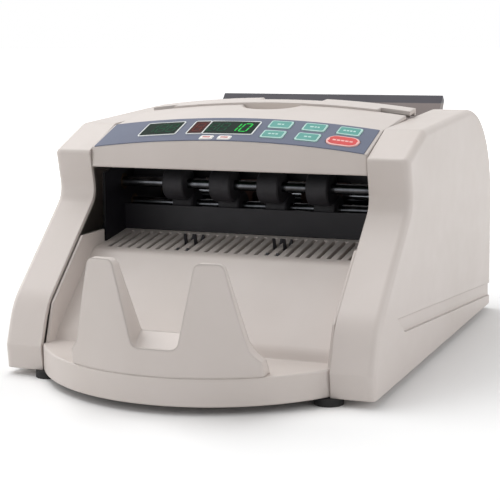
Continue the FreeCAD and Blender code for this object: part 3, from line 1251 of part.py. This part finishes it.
# Transformer: iron core with its coil standing proud at front and back
core_left = s.motor_length - plate_inner + s.transformer_gap
core_x = (core_left, core_left + s.transformer_wide)
core_y = (at(s.transformer_front), at(s.transformer_front) + s.transformer_deep)
core_z = (pan_top, pan_top + s.transformer_tall)
coil_gap = (s.transformer_wide - s.coil_wide) / 2
core = block("transformer_core", core_x, core_y, core_z)
coil = block("transformer_coil", (core_x[0] + coil_gap, core_x[1] - coil_gap),
             (core_y[0] - s.coil_out, core_y[1] + s.coil_out),
             (core_z[0] + s.coil_out, core_z[1] - s.coil_out))
node("transformer", fuse("transformer_solid", core, coil))

# Sensor bar over the note path, with two lenses looking down
sensor_y = (at(s.sensor_setback), at(s.sensor_setback) + s.sensor_deep)
sensor_z = (up(s.sensor_height), up(s.sensor_height) + s.sensor_tall)
sensor_case = block("sensor_case", (-plate_inner, plate_inner), sensor_y, sensor_z)
eyes = [bar(f"sensor_eye_{i}", "z", s.sensor_eye, (sensor_z[0] - s.sensor_eye / 2, sensor_z[1]),
            (side * s.sensor_eye_offset, sensor_y[0] + s.sensor_deep / 2)) for i, side in enumerate((-1, 1))]
node("sensor_bar", fuse("sensor_with_eyes", sensor_case, *eyes))

# Check every object, then write one file for each piece
doc.recompute()
for thing in doc.Objects:
    if "Invalid" in thing.State or "Error" in thing.State:
        raise RuntimeError(f"{thing.Name} failed: {thing.State}")
for piece in nodes:
    if piece.Shape.isNull() or not piece.Shape.isValid() or not piece.Shape.Solids:
        raise RuntimeError(f"{piece.Label} has no valid solid")
for piece in nodes:
    piece.Shape.exportStep(f"parts/{piece.Label}.step")
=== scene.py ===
import math

import bpy
import numpy as np
from mathutils import Matrix, Vector


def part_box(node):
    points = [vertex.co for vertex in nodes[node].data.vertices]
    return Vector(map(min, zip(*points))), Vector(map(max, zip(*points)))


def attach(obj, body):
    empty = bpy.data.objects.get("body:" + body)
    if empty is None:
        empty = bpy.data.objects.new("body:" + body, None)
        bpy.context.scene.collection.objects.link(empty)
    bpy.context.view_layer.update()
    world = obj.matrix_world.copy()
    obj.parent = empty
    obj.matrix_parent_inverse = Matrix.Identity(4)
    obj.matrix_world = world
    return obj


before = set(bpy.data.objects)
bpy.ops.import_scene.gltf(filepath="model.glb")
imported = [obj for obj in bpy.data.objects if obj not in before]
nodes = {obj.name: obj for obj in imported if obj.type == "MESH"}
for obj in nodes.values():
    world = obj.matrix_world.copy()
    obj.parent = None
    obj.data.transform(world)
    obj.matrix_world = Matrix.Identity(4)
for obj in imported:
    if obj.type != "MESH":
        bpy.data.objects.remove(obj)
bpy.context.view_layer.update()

# Base pan and feet: a zinc-plated pressing that closes the machine from below, carried
# on four turned rubber discs that are screwed up through the pan's corners.
MM = 0.001
CLOUD_DETAIL, CLOUD_ENDS = 4.0, (0.35, 0.65)
GLOSS_DETAIL, GLOSS_FINER = 3.0, 6
GRAIN_DETAIL, GRAIN_STRENGTH = 2.0, 0.35
EDGE_SAMPLES = 6


def linear(code):
    """Colour of a six-digit sRGB code as linear red, green, blue and alpha."""
    parts = np.array([int(code[i:i + 2], 16) for i in (0, 2, 4)]) / 255
    low, high = parts / 12.92, ((parts + 0.055) / 1.055) ** 2.4
    return (*np.where(parts <= 0.04045, low, high).tolist(), 1.0)


def finish(name, light, dark, rough, cloud=18.0, grain=2600.0, height=0.02, stretch=(1, 1, 1),
           metal=0.0, spread=0.08, specular=0.5, edge=0.0):
    """Solid material on Object coordinates: a slow cloud mixes two tones, a fine grain gives
    bump, and a middle-sized noise moves the roughness up and down by the spread. The grain's
    height and the edge radius are in millimetres. The radius turns the normals over at corners,
    as a moulded edge does."""
    material = bpy.data.materials.new(name)
    material.use_nodes = True
    tree = material.node_tree
    make, link = tree.nodes.new, tree.links.new
    shader = tree.nodes["Principled BSDF"]
    mapping = make("ShaderNodeMapping")
    mapping.inputs["Scale"].default_value = stretch
    link(make("ShaderNodeTexCoord").outputs["Object"], mapping.inputs["Vector"])

    def noise(scale, detail):
        texture = make("ShaderNodeTexNoise")
        texture.inputs["Scale"].default_value = scale
        texture.inputs["Detail"].default_value = detail
        link(mapping.outputs["Vector"], texture.inputs["Vector"])
        return texture.outputs["Fac"]

    tone = make("ShaderNodeValToRGB")
    stops = tone.color_ramp.elements
    stops[0].position, stops[1].position = CLOUD_ENDS
    stops[0].color, stops[1].color = linear(dark), linear(light)
    link(noise(cloud, CLOUD_DETAIL), tone.inputs["Fac"])
    link(tone.outputs["Color"], shader.inputs["Base Color"])
    gloss = make("ShaderNodeMapRange")
    gloss.inputs["To Min"].default_value = rough - spread
    gloss.inputs["To Max"].default_value = rough + spread
    link(noise(cloud * GLOSS_FINER, GLOSS_DETAIL), gloss.inputs["Value"])
    link(gloss.outputs["Result"], shader.inputs["Roughness"])
    bump = make("ShaderNodeBump")
    bump.inputs["Strength"].default_value = GRAIN_STRENGTH
    bump.inputs["Distance"].default_value = height * MM
    link(noise(grain, GRAIN_DETAIL), bump.inputs["Height"])
    link(bump.outputs["Normal"], shader.inputs["Normal"])
    if edge:
        rounding = make("ShaderNodeBevel")
        rounding.samples = EDGE_SAMPLES
        rounding.inputs["Radius"].default_value = edge * MM
        link(rounding.outputs["Normal"], bump.inputs["Normal"])
    shader.inputs["Metallic"].default_value = metal
    shader.inputs["Specular IOR Level"].default_value = specular
    return material


def dress(material, *names):
    """Give CAD nodes a finish: every material slot of the node's mesh takes it."""
    for name in names:
        mesh = nodes[name].data
        mesh.materials.clear()
        mesh.materials.append(material)


zinc = finish("zinc_plate", "A9ABAD", "8C8F92", 0.42, cloud=60, grain=900, height=0.01, metal=1.0)
foot_rubber = finish("foot_rubber", "1C1B1C", "121112", 0.75, grain=1800, height=0.05)
dress(zinc, "base_pan", "rear_screws", "tie_rods")
dress(foot_rubber, "feet")

# Side plates, throat panel and hopper sheets: black-painted steel walls that carry every shaft,
# with dark moulded sheets screwed between them. Inlet, rocker, thumbwheel, switches and finger
# wheels are small mouldings in the same black.
black_paint = finish("black_paint", "15131A", "0D0C11", 0.5, cloud=30, grain=1500, height=0.03,
                     specular=0.3)
black_mould = finish("black_moulding", "17151B", "0F0E13", 0.46, cloud=25, grain=2200,
                     height=0.03, specular=0.3)
dress(black_paint, "left_side_plate", "right_side_plate")
dress(black_mould, "throat_panel", "hopper_floor", "hopper_front", "sensor_bar", "stacker_wheels",
      "gap_thumbwheel", "key_switches", "mains_inlet", "power_rocker")

# Shafts, bushes and pins: ground steel rods in sintered bronze sleeves. The steel's tones are
# painted darker than bright ground steel, as painted shade for the dark throat the shafts run in.
# The grinding runs round the rods, so the grain is stretched across them.
# Painted shade: the steel's two tones are darkened for the shaded throat, so only thin highlights
# show on the rods.
shade_darkened_steel = finish("shade_darkened_steel", "66686C", "54565A", 0.24, cloud=40, grain=1200, height=0.01,
                      stretch=(8, 1, 1), metal=1.0)
bronze = finish("sintered_bronze", "5E4C36", "4A3B2A", 0.5, cloud=300, grain=2500, height=0.03,
                metal=1.0)
dress(shade_darkened_steel, "pinch_shaft", "transport_shaft", "feed_shaft", "pickup_shaft",
      "retard_shaft", "stacker_shaft", "cover_pins")
dress(bronze, "shaft_bushes")

# Rollers and belts: rubber tyres ground to size on the shafts, and flat black drive belts
# that run on white acetal pulleys.
roller_rubber = finish("roller_rubber", "232126", "161418", 0.68, cloud=120, grain=2000,
                       height=0.06)
feed_rubber = finish("feed_rubber", "5A3A2E", "452B22", 0.72, cloud=120, grain=2000, height=0.06)
belt_rubber = finish("belt_rubber", "1A1A1B", "111112", 0.66, cloud=200, grain=1600, height=0.08)
acetal = finish("white_acetal", "E3E2DC", "D2D0C8", 0.36, cloud=60, grain=1500, height=0.01)
dress(roller_rubber, "pinch_rollers", "transport_rollers", "retard_rollers")
dress(feed_rubber, "feed_rollers", "pickup_rollers")
dress(belt_rubber, "drive_belts")
dress(acetal, "feed_pulleys", "transport_pulleys", "stacker_pulley", "pickup_pulley")

# Motor, transformer and boards: plated motor can, varnished iron core and green laminate,
# all hidden inside the casing.
motor_can = finish("motor_can", "8A8C90", "74777B", 0.4, cloud=50, grain=900, height=0.01,
                   metal=1.0)
iron_core = finish("varnished_core", "3B3430", "2A2522", 0.45, cloud=200, grain=1500, height=0.05,
                   stretch=(1, 1, 6))
laminate = finish("green_laminate", "1E5A36", "17492B", 0.4, cloud=250, grain=3000, height=0.02)
digit_block = finish("digit_block", "2C2C2F", "232326", 0.3, cloud=60, grain=2000, height=0.01)
dress(motor_can, "drive_motor")
dress(zinc, "motor_pulley")
dress(iron_core, "transformer")
dress(laminate, "main_board", "display_board")
dress(digit_block, "display_modules")

# Casing mouldings: side covers, rear cover, console, access cover, stacker tray and its forked
# stop are injection-moulded in one warm light grey, with a fine spark-eroded texture. The
# console and the stop have the rounder edges.
casing = finish("casing_plastic", "D2C9C4", "CCC3BD", 0.42, cloud=14, grain=3200, height=0.03,
                edge=1.0)
round_casing = finish("round_edged_casing", "D2C9C4", "CCC3BD", 0.42, cloud=14, grain=3200,
                      height=0.03, edge=2.0)
dress(casing, "left_side_cover", "right_side_cover", "rear_cover", "access_cover", "stacker_tray")
dress(round_casing, "console_housing", "note_stop")

# Hopper plate and guides: a leaning rest of smoked plastic with a thick dark rim, paler where
# the plate is thin, and two grey moulded guides that slide on a rod in front of it.
RIM_LOW, RIM_HIGH = 140.2 * MM, 140.6 * MM


def thin_below(material, tone):
    """Lay a paler tone on a plate under its rim: Object z between the rim's two heights runs
    from the tone to the material's own."""
    tree = material.node_tree
    make, link = tree.nodes.new, tree.links.new
    base = tree.nodes["Principled BSDF"].inputs["Base Color"]
    height = make("ShaderNodeSeparateXYZ")
    link(make("ShaderNodeTexCoord").outputs["Object"], height.inputs["Vector"])
    climb = make("ShaderNodeMapRange")
    climb.inputs["From Min"].default_value = RIM_LOW
    climb.inputs["From Max"].default_value = RIM_HIGH
    link(height.outputs["Z"], climb.inputs["Value"])
    blend = make("ShaderNodeMix")
    blend.data_type = "RGBA"
    sockets = {socket.identifier: socket for socket in [*blend.inputs, *blend.outputs]}
    sockets["A_Color"].default_value = linear(tone)
    link(climb.outputs["Result"], sockets["Factor_Float"])
    link(base.links[0].from_socket, sockets["B_Color"])
    link(sockets["Result_Color"], base)


smoked = finish("smoked_plastic", "3A3740", "312E37", 0.36, cloud=20, grain=1200, height=0.01,
                specular=0.25, edge=0.4)
thin_below(smoked, "7A6F6C")
guide_grey = finish("guide_grey", "5C5C61", "4E4E53", 0.45, cloud=30, grain=2200, height=0.03)
dress(smoked, "hopper_plate")
dress(guide_grey, "left_note_guide", "right_note_guide")

# Control overlay: a blue-grey printed sheet glued to the crowned panel. Its print is laid on
# as thin films: white rims round the displays and lamps.
overlay_film = finish("overlay_film", "686F82", "5E6478", 0.5, cloud=9, grain=2600, height=0.015,
                      specular=0.2)
dress(overlay_film, "control_overlay")
CROWN = 650 * MM
TILT = math.radians(19.5)
PANEL_LONG = 31.1 * MM
FILM = 0.5 * MM
overlay_low, overlay_high = (np.array(corner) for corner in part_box("control_overlay"))
panel_y = overlay_low[1] + FILM * math.sin(TILT)
panel_z = overlay_high[2] - PANEL_LONG * math.sin(TILT) - FILM * math.cos(TILT)


def on_panel(x, climb, lift):
    """Points of the panel: y and height follow the slope, then the section is turned about the
    crown's axis, so that z drops by the arc of radius CROWN + height at the distance x from the
    middle."""
    height = climb * math.sin(TILT) + lift * math.cos(TILT)
    y = panel_y + climb * math.cos(TILT) - lift * math.sin(TILT)
    z = panel_z - CROWN + np.sqrt((CROWN + height) ** 2 - x ** 2)
    return np.stack([x, y, z], axis=-1)


def add_mesh(name, points, faces, material, body):
    """Piece from an array of points and its faces, riding on a CAD body."""
    mesh = bpy.data.meshes.new(name)
    mesh.from_pydata(points.reshape(-1, 3).tolist(), [], faces)
    mesh.materials.append(material)
    mesh.update()
    piece = bpy.data.objects.new(name, mesh)
    bpy.context.scene.collection.objects.link(piece)
    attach(piece, body)
    return piece


def round_box(wide, tall, corner, count=10):
    """Closed outline of a rectangle with round corners: each corner's quarter circle in turn."""
    turn = np.linspace(0, math.pi / 2, count)
    quarters = np.arange(4)[:, None] * math.pi / 2 + turn
    sign_x, sign_y = np.array([1, -1, -1, 1]), np.array([1, 1, -1, -1])
    x = sign_x[:, None] * (wide / 2 - corner) + corner * np.cos(quarters)
    y = sign_y[:, None] * (tall / 2 - corner) + corner * np.sin(quarters)
    return np.stack([x, y], axis=-1).reshape(-1, 2)


def loop_faces(rings, length):
    """Quads between closed rings of equal length, the last ring joined to the first."""
    i, j = np.meshgrid(np.arange(rings), np.arange(length), indexing="ij")
    here, following = i * length, (i + 1) % rings * length
    beside = (j + 1) % length
    quads = np.stack([here + j, here + beside, following + beside, following + j], -1)
    return quads.reshape(-1, 4).tolist()


def printed_rim(middle, size, corner, width, low, high):
    """Flat band round a rounded rectangle: the outline and its copy grown by the width, at two
    lifts."""
    inner = round_box(*size, corner)
    outer = round_box(size[0] + 2 * width, size[1] + 2 * width, corner + width)
    rings = [(outer, low), (outer, high), (inner, high), (inner, low)]
    points = [on_panel(middle[0] + ring[:, 0], middle[1] + ring[:, 1], lift)
              for ring, lift in rings]
    return np.stack(points), loop_faces(len(rings), len(inner))


def join(parts):
    """Several (points, faces) pairs as one: each pair's faces count on from the points before."""
    clouds = [points.reshape(-1, 3) for points, _ in parts]
    starts = np.cumsum([0] + [len(cloud) for cloud in clouds[:-1]])
    faces = [np.array(group) + start for start, (_, group) in zip(starts, parts)]
    return np.concatenate(clouds), np.concatenate(faces).tolist()


WINDOW_LOW, WINDOW_TALL = 8.6 * MM, 16.8 * MM
WINDOWS = {"batch": (-58.2 * MM, 23.4 * MM), "mode": (-27.1 * MM, 9.4 * MM),
           "count": (-16.9 * MM, 30.4 * MM)}
LAMPS = [(-12.2 * MM, 3.4 * MM), (-1.0 * MM, 3.4 * MM)]
LAMP_SIZE = (7.2 * MM, 4.0 * MM)
RIM_CORNER = 0.75 * MM
WINDOW_RIM, LAMP_RIM = 0.7 * MM, 0.6 * MM
RIM_FOOT = FILM / 2
WINDOW_RIM_LIFT, LAMP_RIM_LIFT = 0.95 * MM, FILM + 0.06 * MM
window_middle = WINDOW_LOW + WINDOW_TALL / 2
white_ink = finish("white_ink", "E9ECEA", "DCE0DE", 0.45, cloud=80, grain=2600, height=0.01)
window_rims = []
for left, wide in WINDOWS.values():
    window_rims.append(printed_rim((left + wide / 2, window_middle), (wide, WINDOW_TALL),
                                   RIM_CORNER, WINDOW_RIM, RIM_FOOT, WINDOW_RIM_LIFT))
for middle in LAMPS:
    window_rims.append(printed_rim(middle, LAMP_SIZE, RIM_CORNER, LAMP_RIM, RIM_FOOT,
                                   LAMP_RIM_LIFT))
window_print = add_mesh("window_rims", *join(window_rims), white_ink, "chassis")

# Display windows and lamp lenses: tinted acrylic panes set in the film, dark green for the
# counts and dark red-brown for the mode digit, and pale lamp lenses with a red bar.
green_pane = finish("green_pane", "0C241A", "081B13", 0.4, cloud=40, grain=900, height=0.002,
                    spread=0.03, specular=0.03)
red_pane = finish("red_pane", "421F1B", "371814", 0.4, cloud=40, grain=900, height=0.002,
                  spread=0.03, specular=0.03)
lens = finish("lamp_lens", "ECE7E3", "E2DCD7", 0.3, cloud=90, grain=1500, height=0.005)
dress(green_pane, "batch_display_window", "count_display_window")
dress(red_pane, "mode_digit_window")
dress(lens, "lamp_lenses")


def raised_bars(bars, low, high):
    """Thin bars on the panel. Each row of the array is a four-cornered outline; its copy at the
    higher lift is the face, and four walls join the two."""
    corners = np.asarray(bars)
    x, climb = corners[..., 0], corners[..., 1]
    points = np.concatenate([on_panel(x, climb, low), on_panel(x, climb, high)], axis=1)
    walls = [(0, 1, 5, 4), (1, 2, 6, 5), (2, 3, 7, 6), (3, 0, 4, 7), (4, 5, 6, 7), (3, 2, 1, 0)]
    first = np.arange(len(corners))[:, None, None] * points.shape[1]
    return points, (first + np.array(walls)).reshape(-1, 4).tolist()


DIGIT_WIDE, DIGIT_TALL = 4.6 * MM, 10.4 * MM
SEGMENT_WIDE, SEGMENT_SHORT = 0.8 * MM, 0.48 * MM
LEAN = 0.1
SEGMENTS = {"a": (0, 1, 1, 1), "b": (1, 1, 1, 0.5), "c": (1, 0.5, 1, 0), "d": (0, 0, 1, 0),
            "e": (0, 0.5, 0, 0), "f": (0, 1, 0, 0.5), "g": (0, 0.5, 1, 0.5)}
FIGURES = {"0": "abcdef", "1": "bc", "8": "abcdefg"}


def digit_bars(figure, middle, climb):
    """Seven-segment figure: each segment is a bar along one side of the two stacked squares,
    a little short of the corners, leaning to the right with its height."""
    ends = np.array([SEGMENTS[name] for name in FIGURES[figure]], float).reshape(-1, 2, 2)
    ends = (ends - 0.5) * np.array([DIGIT_WIDE, DIGIT_TALL])
    along = ends[:, 1] - ends[:, 0]
    along /= np.linalg.norm(along, axis=1, keepdims=True)
    aside = np.stack([-along[:, 1], along[:, 0]], axis=1) * SEGMENT_WIDE / 2
    start, end = ends[:, 0] + along * SEGMENT_SHORT, ends[:, 1] - along * SEGMENT_SHORT
    bars = np.stack([start - aside, end - aside, end + aside, start + aside], axis=1)
    bars[..., 0] += bars[..., 1] * LEAN
    return bars + np.array([middle, climb])


FIGURE_PITCH = 6.85 * MM
ROW_SHIFT = {"batch": 0, "mode": 0, "count": -1.5 * MM}


def figure_row(window, figures):
    """Figures at an even pitch, with the row's middle at the window's own or shifted from it."""
    left, wide = WINDOWS[window]
    steps = np.arange(len(figures)) - (len(figures) - 1) / 2
    places = left + wide / 2 + ROW_SHIFT[window] + FIGURE_PITCH * steps
    return [digit_bars(figure, middle, window_middle)
            for figure, middle in zip(figures, places) if figure != " "]


PANE_LIFT = 0.9 * MM
SEGMENT_FOOT, SEGMENT_LIFT = PANE_LIFT - 0.2 * MM, PANE_LIFT + 0.09 * MM
LIT_STRENGTH = 0.3
unlit_green = finish("unlit_segments", "1F5239", "194630", 0.45, cloud=300, grain=900,
                     height=0.002, specular=0.03)
unlit_red = finish("unlit_red_segments", "6E362E", "602D26", 0.45, cloud=300, grain=900,
                   height=0.002, specular=0.03)
lit_green = finish("lit_segments", "35C455", "2BB149", 0.45, cloud=300, grain=900, height=0.002,
                   specular=0.03)
lit_shader = lit_green.node_tree.nodes["Principled BSDF"]
lit_shader.inputs["Emission Color"].default_value = linear("35D456")
lit_shader.inputs["Emission Strength"].default_value = LIT_STRENGTH
DISPLAY_ROWS = [
    ("unlit_count_segments", unlit_green, "green_window", [("batch", "188"), ("count", "88  ")]),
    ("unlit_mode_segments", unlit_red, "red_window", [("mode", "8")]),
    ("lit_count_segments", lit_green, "green_window", [("count", "  10")]),
]
for name, material, slot, rows in DISPLAY_ROWS:
    bars = np.concatenate([bar for window, figures in rows for bar in figure_row(window, figures)])
    segments = raised_bars(bars, SEGMENT_FOOT, SEGMENT_LIFT)
    add_mesh(name, *segments, material, "chassis")


def plain_bar(middle, climb, wide, tall):
    """Four corners of an upright bar round its middle."""
    signs = np.array([(-1, -1), (1, -1), (1, 1), (-1, 1)])
    return np.array([middle, climb]) + signs * np.array([wide, tall]) / 2


LAMP_BAR = (4.6 * MM, 1.5 * MM)
lamp_red = finish("lamp_red", "B24A48", "A2403F", 0.35, cloud=200, grain=1500, height=0.004)
lamp_bars = raised_bars([plain_bar(*middle, *LAMP_BAR) for middle in LAMPS], SEGMENT_FOOT,
                        SEGMENT_LIFT)
add_mesh("lamp_strips", *lamp_bars, lamp_red, "chassis")

# Keys: five teal caps and a red oval one, moulded plungers under the film. Each has a pale edge,
# a printed colour field on its top and plain pale strokes on the field, which all move with
# the cap.
KEY_SIZE, RESET_SIZE = (13.9 * MM, 9.8 * MM), (19.4 * MM, 11.6 * MM)
KEY_CORNER = 1.6 * MM
KEY_EDGE = 1.05 * MM
OVAL_FLAT = 0.05 * MM
KEY_RISE = 1.0 * MM
PRINT_FOOT = KEY_RISE - 0.3 * MM
FIELD_LIFT, STROKE_LIFT = KEY_RISE + 0.05 * MM, KEY_RISE + 0.08 * MM
KEY_COLUMNS = [26.5 * MM, 47.3 * MM, 68.1 * MM]
KEY_ROWS = [23.5 * MM, 10.4 * MM]
KEYS = {"add_one_key": (0, 0), "add_ten_key": (1, 0), "preset_key": (2, 0), "batch_key": (0, 1),
        "detect_key": (1, 1), "reset_key": (2, 1)}
STROKES = {"add_one_key": [2.2, 1.2], "add_ten_key": [2.2, 1.2, 1.2], "preset_key": [1.4] * 4,
           "batch_key": [1.6] * 3, "detect_key": [1.8] * 2, "reset_key": [1.9] * 5}
STROKE_GAP, STROKE_TALL = 0.55 * MM, 1.5 * MM
teal = finish("teal_key", "4F9C93", "469187", 0.45, cloud=60, grain=2600, height=0.02,
              specular=0.3)
red = finish("red_key", "D8403F", "C93635", 0.45, cloud=60, grain=2600, height=0.02, specular=0.3)
pale_teal = finish("pale_teal_ink", "B9DCD5", "A9D0C8", 0.45, cloud=80, grain=2600, height=0.01,
                   specular=0.3)
pale_red = finish("pale_red_ink", "F0BDB8", "E6ADA8", 0.45, cloud=80, grain=2600, height=0.01,
                  specular=0.3)


def colour_field(middle, size, corner, low, high):
    """Low plinth with a rounded outline: the outline at two lifts, joined by a wall, and a fan of
    its points about the middle of the top."""
    outline = round_box(*size, corner)
    rings = [on_panel(middle[0] + outline[:, 0], middle[1] + outline[:, 1], lift)
             for lift in (low, high)]
    top = on_panel(np.array([middle[0]]), np.array([middle[1]]), high)
    count = len(outline)
    here = np.arange(count)
    beside = (here + 1) % count
    wall = np.stack([here, beside, beside + count, here + count], axis=1).tolist()
    fan = np.stack([here + count, beside + count, np.full(count, 2 * count)], axis=1).tolist()
    return np.concatenate(rings + [top]), wall + fan


for name, (column, row) in KEYS.items():
    oval = name == "reset_key"
    size = RESET_SIZE if oval else KEY_SIZE
    colour, ink, slot = (red, pale_red, "key_red") if oval else (teal, pale_teal, "key_teal")
    dress(ink, name)
    middle = (KEY_COLUMNS[column], KEY_ROWS[row])
    inner = (size[0] - 2 * KEY_EDGE, size[1] - 2 * KEY_EDGE)
    corner = inner[1] / 2 - OVAL_FLAT if oval else KEY_CORNER - KEY_EDGE / 2
    field = colour_field(middle, inner, corner, PRINT_FOOT, FIELD_LIFT)
    add_mesh(f"{name}_field", *field, colour, f"{name}_cap")
    widths = np.array(STROKES[name]) * MM
    places = np.cumsum(widths + STROKE_GAP) - widths / 2
    places -= (widths.sum() + STROKE_GAP * (len(widths) + 1)) / 2
    bars = [plain_bar(middle[0] + place, middle[1], wide, STROKE_TALL)
            for place, wide in zip(places, widths)]
    strokes = raised_bars(bars, PRINT_FOOT, STROKE_LIFT)
    add_mesh(f"{name}_strokes", *strokes, ink, f"{name}_cap")

# Studio: a pale floor under the machine, a white surround, a broad soft light overhead and
# weaker ones from the right, the front and the left, as in a catalogue picture.
FLOOR_HALF = 6.0
FLOOR_CORNERS = [(-1, -1), (1, -1), (1, 1), (-1, 1)]
floor_mesh = bpy.data.meshes.new("floor")
floor_mesh.from_pydata([(x * FLOOR_HALF, y * FLOOR_HALF, 0) for x, y in FLOOR_CORNERS], [],
                       [(0, 1, 2, 3)])
floor = bpy.data.objects.new("floor", floor_mesh)
bpy.context.scene.collection.objects.link(floor)


def seen_directly(tree):
    """One where a ray comes straight from the picture, or by a mirror or glass: the largest of
    three flags."""
    path = tree.nodes.new("ShaderNodeLightPath")
    largest = path.outputs["Is Camera Ray"]
    for flag in ("Is Glossy Ray", "Is Transmission Ray"):
        either = tree.nodes.new("ShaderNodeMath")
        either.operation = "MAXIMUM"
        tree.links.new(largest, either.inputs[0])
        tree.links.new(path.outputs[flag], either.inputs[1])
        largest = either.outputs[0]
    return largest


GLOW_START, GLOW_END, GLOW_STRENGTH = 0.15, 0.9, 0.7
paper = finish("pale_floor", "FAFAFA", "F7F7F7", 0.8, cloud=2, grain=50, height=0.01)
floor_mesh.materials.append(paper)
make, link = paper.node_tree.nodes.new, paper.node_tree.links.new
away = make("ShaderNodeVectorMath")
away.operation = "LENGTH"
link(make("ShaderNodeTexCoord").outputs["Object"], away.inputs[0])
fade = make("ShaderNodeMapRange")
fade.inputs["From Min"].default_value = GLOW_START
fade.inputs["From Max"].default_value = GLOW_END
fade.inputs["To Max"].default_value = GLOW_STRENGTH
link(away.outputs["Value"], fade.inputs["Value"])
glow = make("ShaderNodeMath")
glow.operation = "MULTIPLY"
link(fade.outputs["Result"], glow.inputs[0])
link(seen_directly(paper.node_tree), glow.inputs[1])
paper_shader = paper.node_tree.nodes["Principled BSDF"]
paper_shader.inputs["Emission Color"].default_value = (1, 1, 1, 1)
link(glow.outputs[0], paper_shader.inputs["Emission Strength"])

SURROUND_LIGHT, SURROUND_SEEN = 0.36, 1.0
world = bpy.data.worlds.new("white_surround")
bpy.context.scene.world = world
world.use_nodes = True
background = world.node_tree.nodes["Background"]
strength = world.node_tree.nodes.new("ShaderNodeMapRange")
strength.inputs["To Min"].default_value = SURROUND_LIGHT
strength.inputs["To Max"].default_value = SURROUND_SEEN
world.node_tree.links.new(seen_directly(world.node_tree), strength.inputs["Value"])
world.node_tree.links.new(strength.outputs["Result"], background.inputs["Strength"])
background.inputs["Color"].default_value = (1, 1, 1, 1)


def soft_light(name, place, aim, size, power):
    """Square area light that points from its place to its aim."""
    lamp = bpy.data.lights.new(name, "AREA")
    lamp.size = size
    lamp.energy = power
    light = bpy.data.objects.new(name, lamp)
    bpy.context.scene.collection.objects.link(light)
    light.location = place
    light.rotation_euler = (Vector(aim) - Vector(place)).to_track_quat("-Z", "Y").to_euler()


MIDDLE = (0, 0, 0.08)
soft_light("overhead", place=(-0.5, 0.2, 1.45), aim=MIDDLE, size=1.4, power=16)
soft_light("right_fill", place=(1.5, 0.1, 0.6), aim=MIDDLE, size=1.0, power=7)
soft_light("front_fill", place=(-1.2, -1.2, 0.5), aim=MIDDLE, size=1.0, power=5.5)
soft_light("left_fill", place=(-1.5, 0.3, 0.8), aim=MIDDLE, size=0.8, power=4)

# Camera: stands to the right of the front, a little above the panel, at the picture's own place.
# Its three axes come from the bearing, the height angle and a small roll.
AZIMUTH, ELEVATION, ROLL = math.radians(22.38), math.radians(9.44), math.radians(-0.744)
CAMERA_PLACE = (0.3171, -0.7726, 0.2037)
LENS, SENSOR = 100.54, 36.0
SHIFT_X, SHIFT_Y = -0.0072, -0.0172
back = Vector((math.sin(AZIMUTH) * math.cos(ELEVATION), -math.cos(AZIMUTH) * math.cos(ELEVATION),
               math.sin(ELEVATION)))
level = Vector((math.cos(AZIMUTH), math.sin(AZIMUTH), 0))
upright = back.cross(level)
right = level * math.cos(ROLL) + upright * math.sin(ROLL)
up = upright * math.cos(ROLL) - level * math.sin(ROLL)
camera_data = bpy.data.cameras.new("camera")
camera_data.lens = LENS
camera_data.sensor_width = SENSOR
camera_data.shift_x, camera_data.shift_y = SHIFT_X, SHIFT_Y
camera = bpy.data.objects.new("camera", camera_data)
bpy.context.scene.collection.objects.link(camera)
turn = Matrix((right, up, back)).transposed().to_4x4()
camera.matrix_world = Matrix.Translation(CAMERA_PLACE) @ turn
bpy.context.scene.camera = camera
bpy.context.scene.view_settings.view_transform = "Standard"
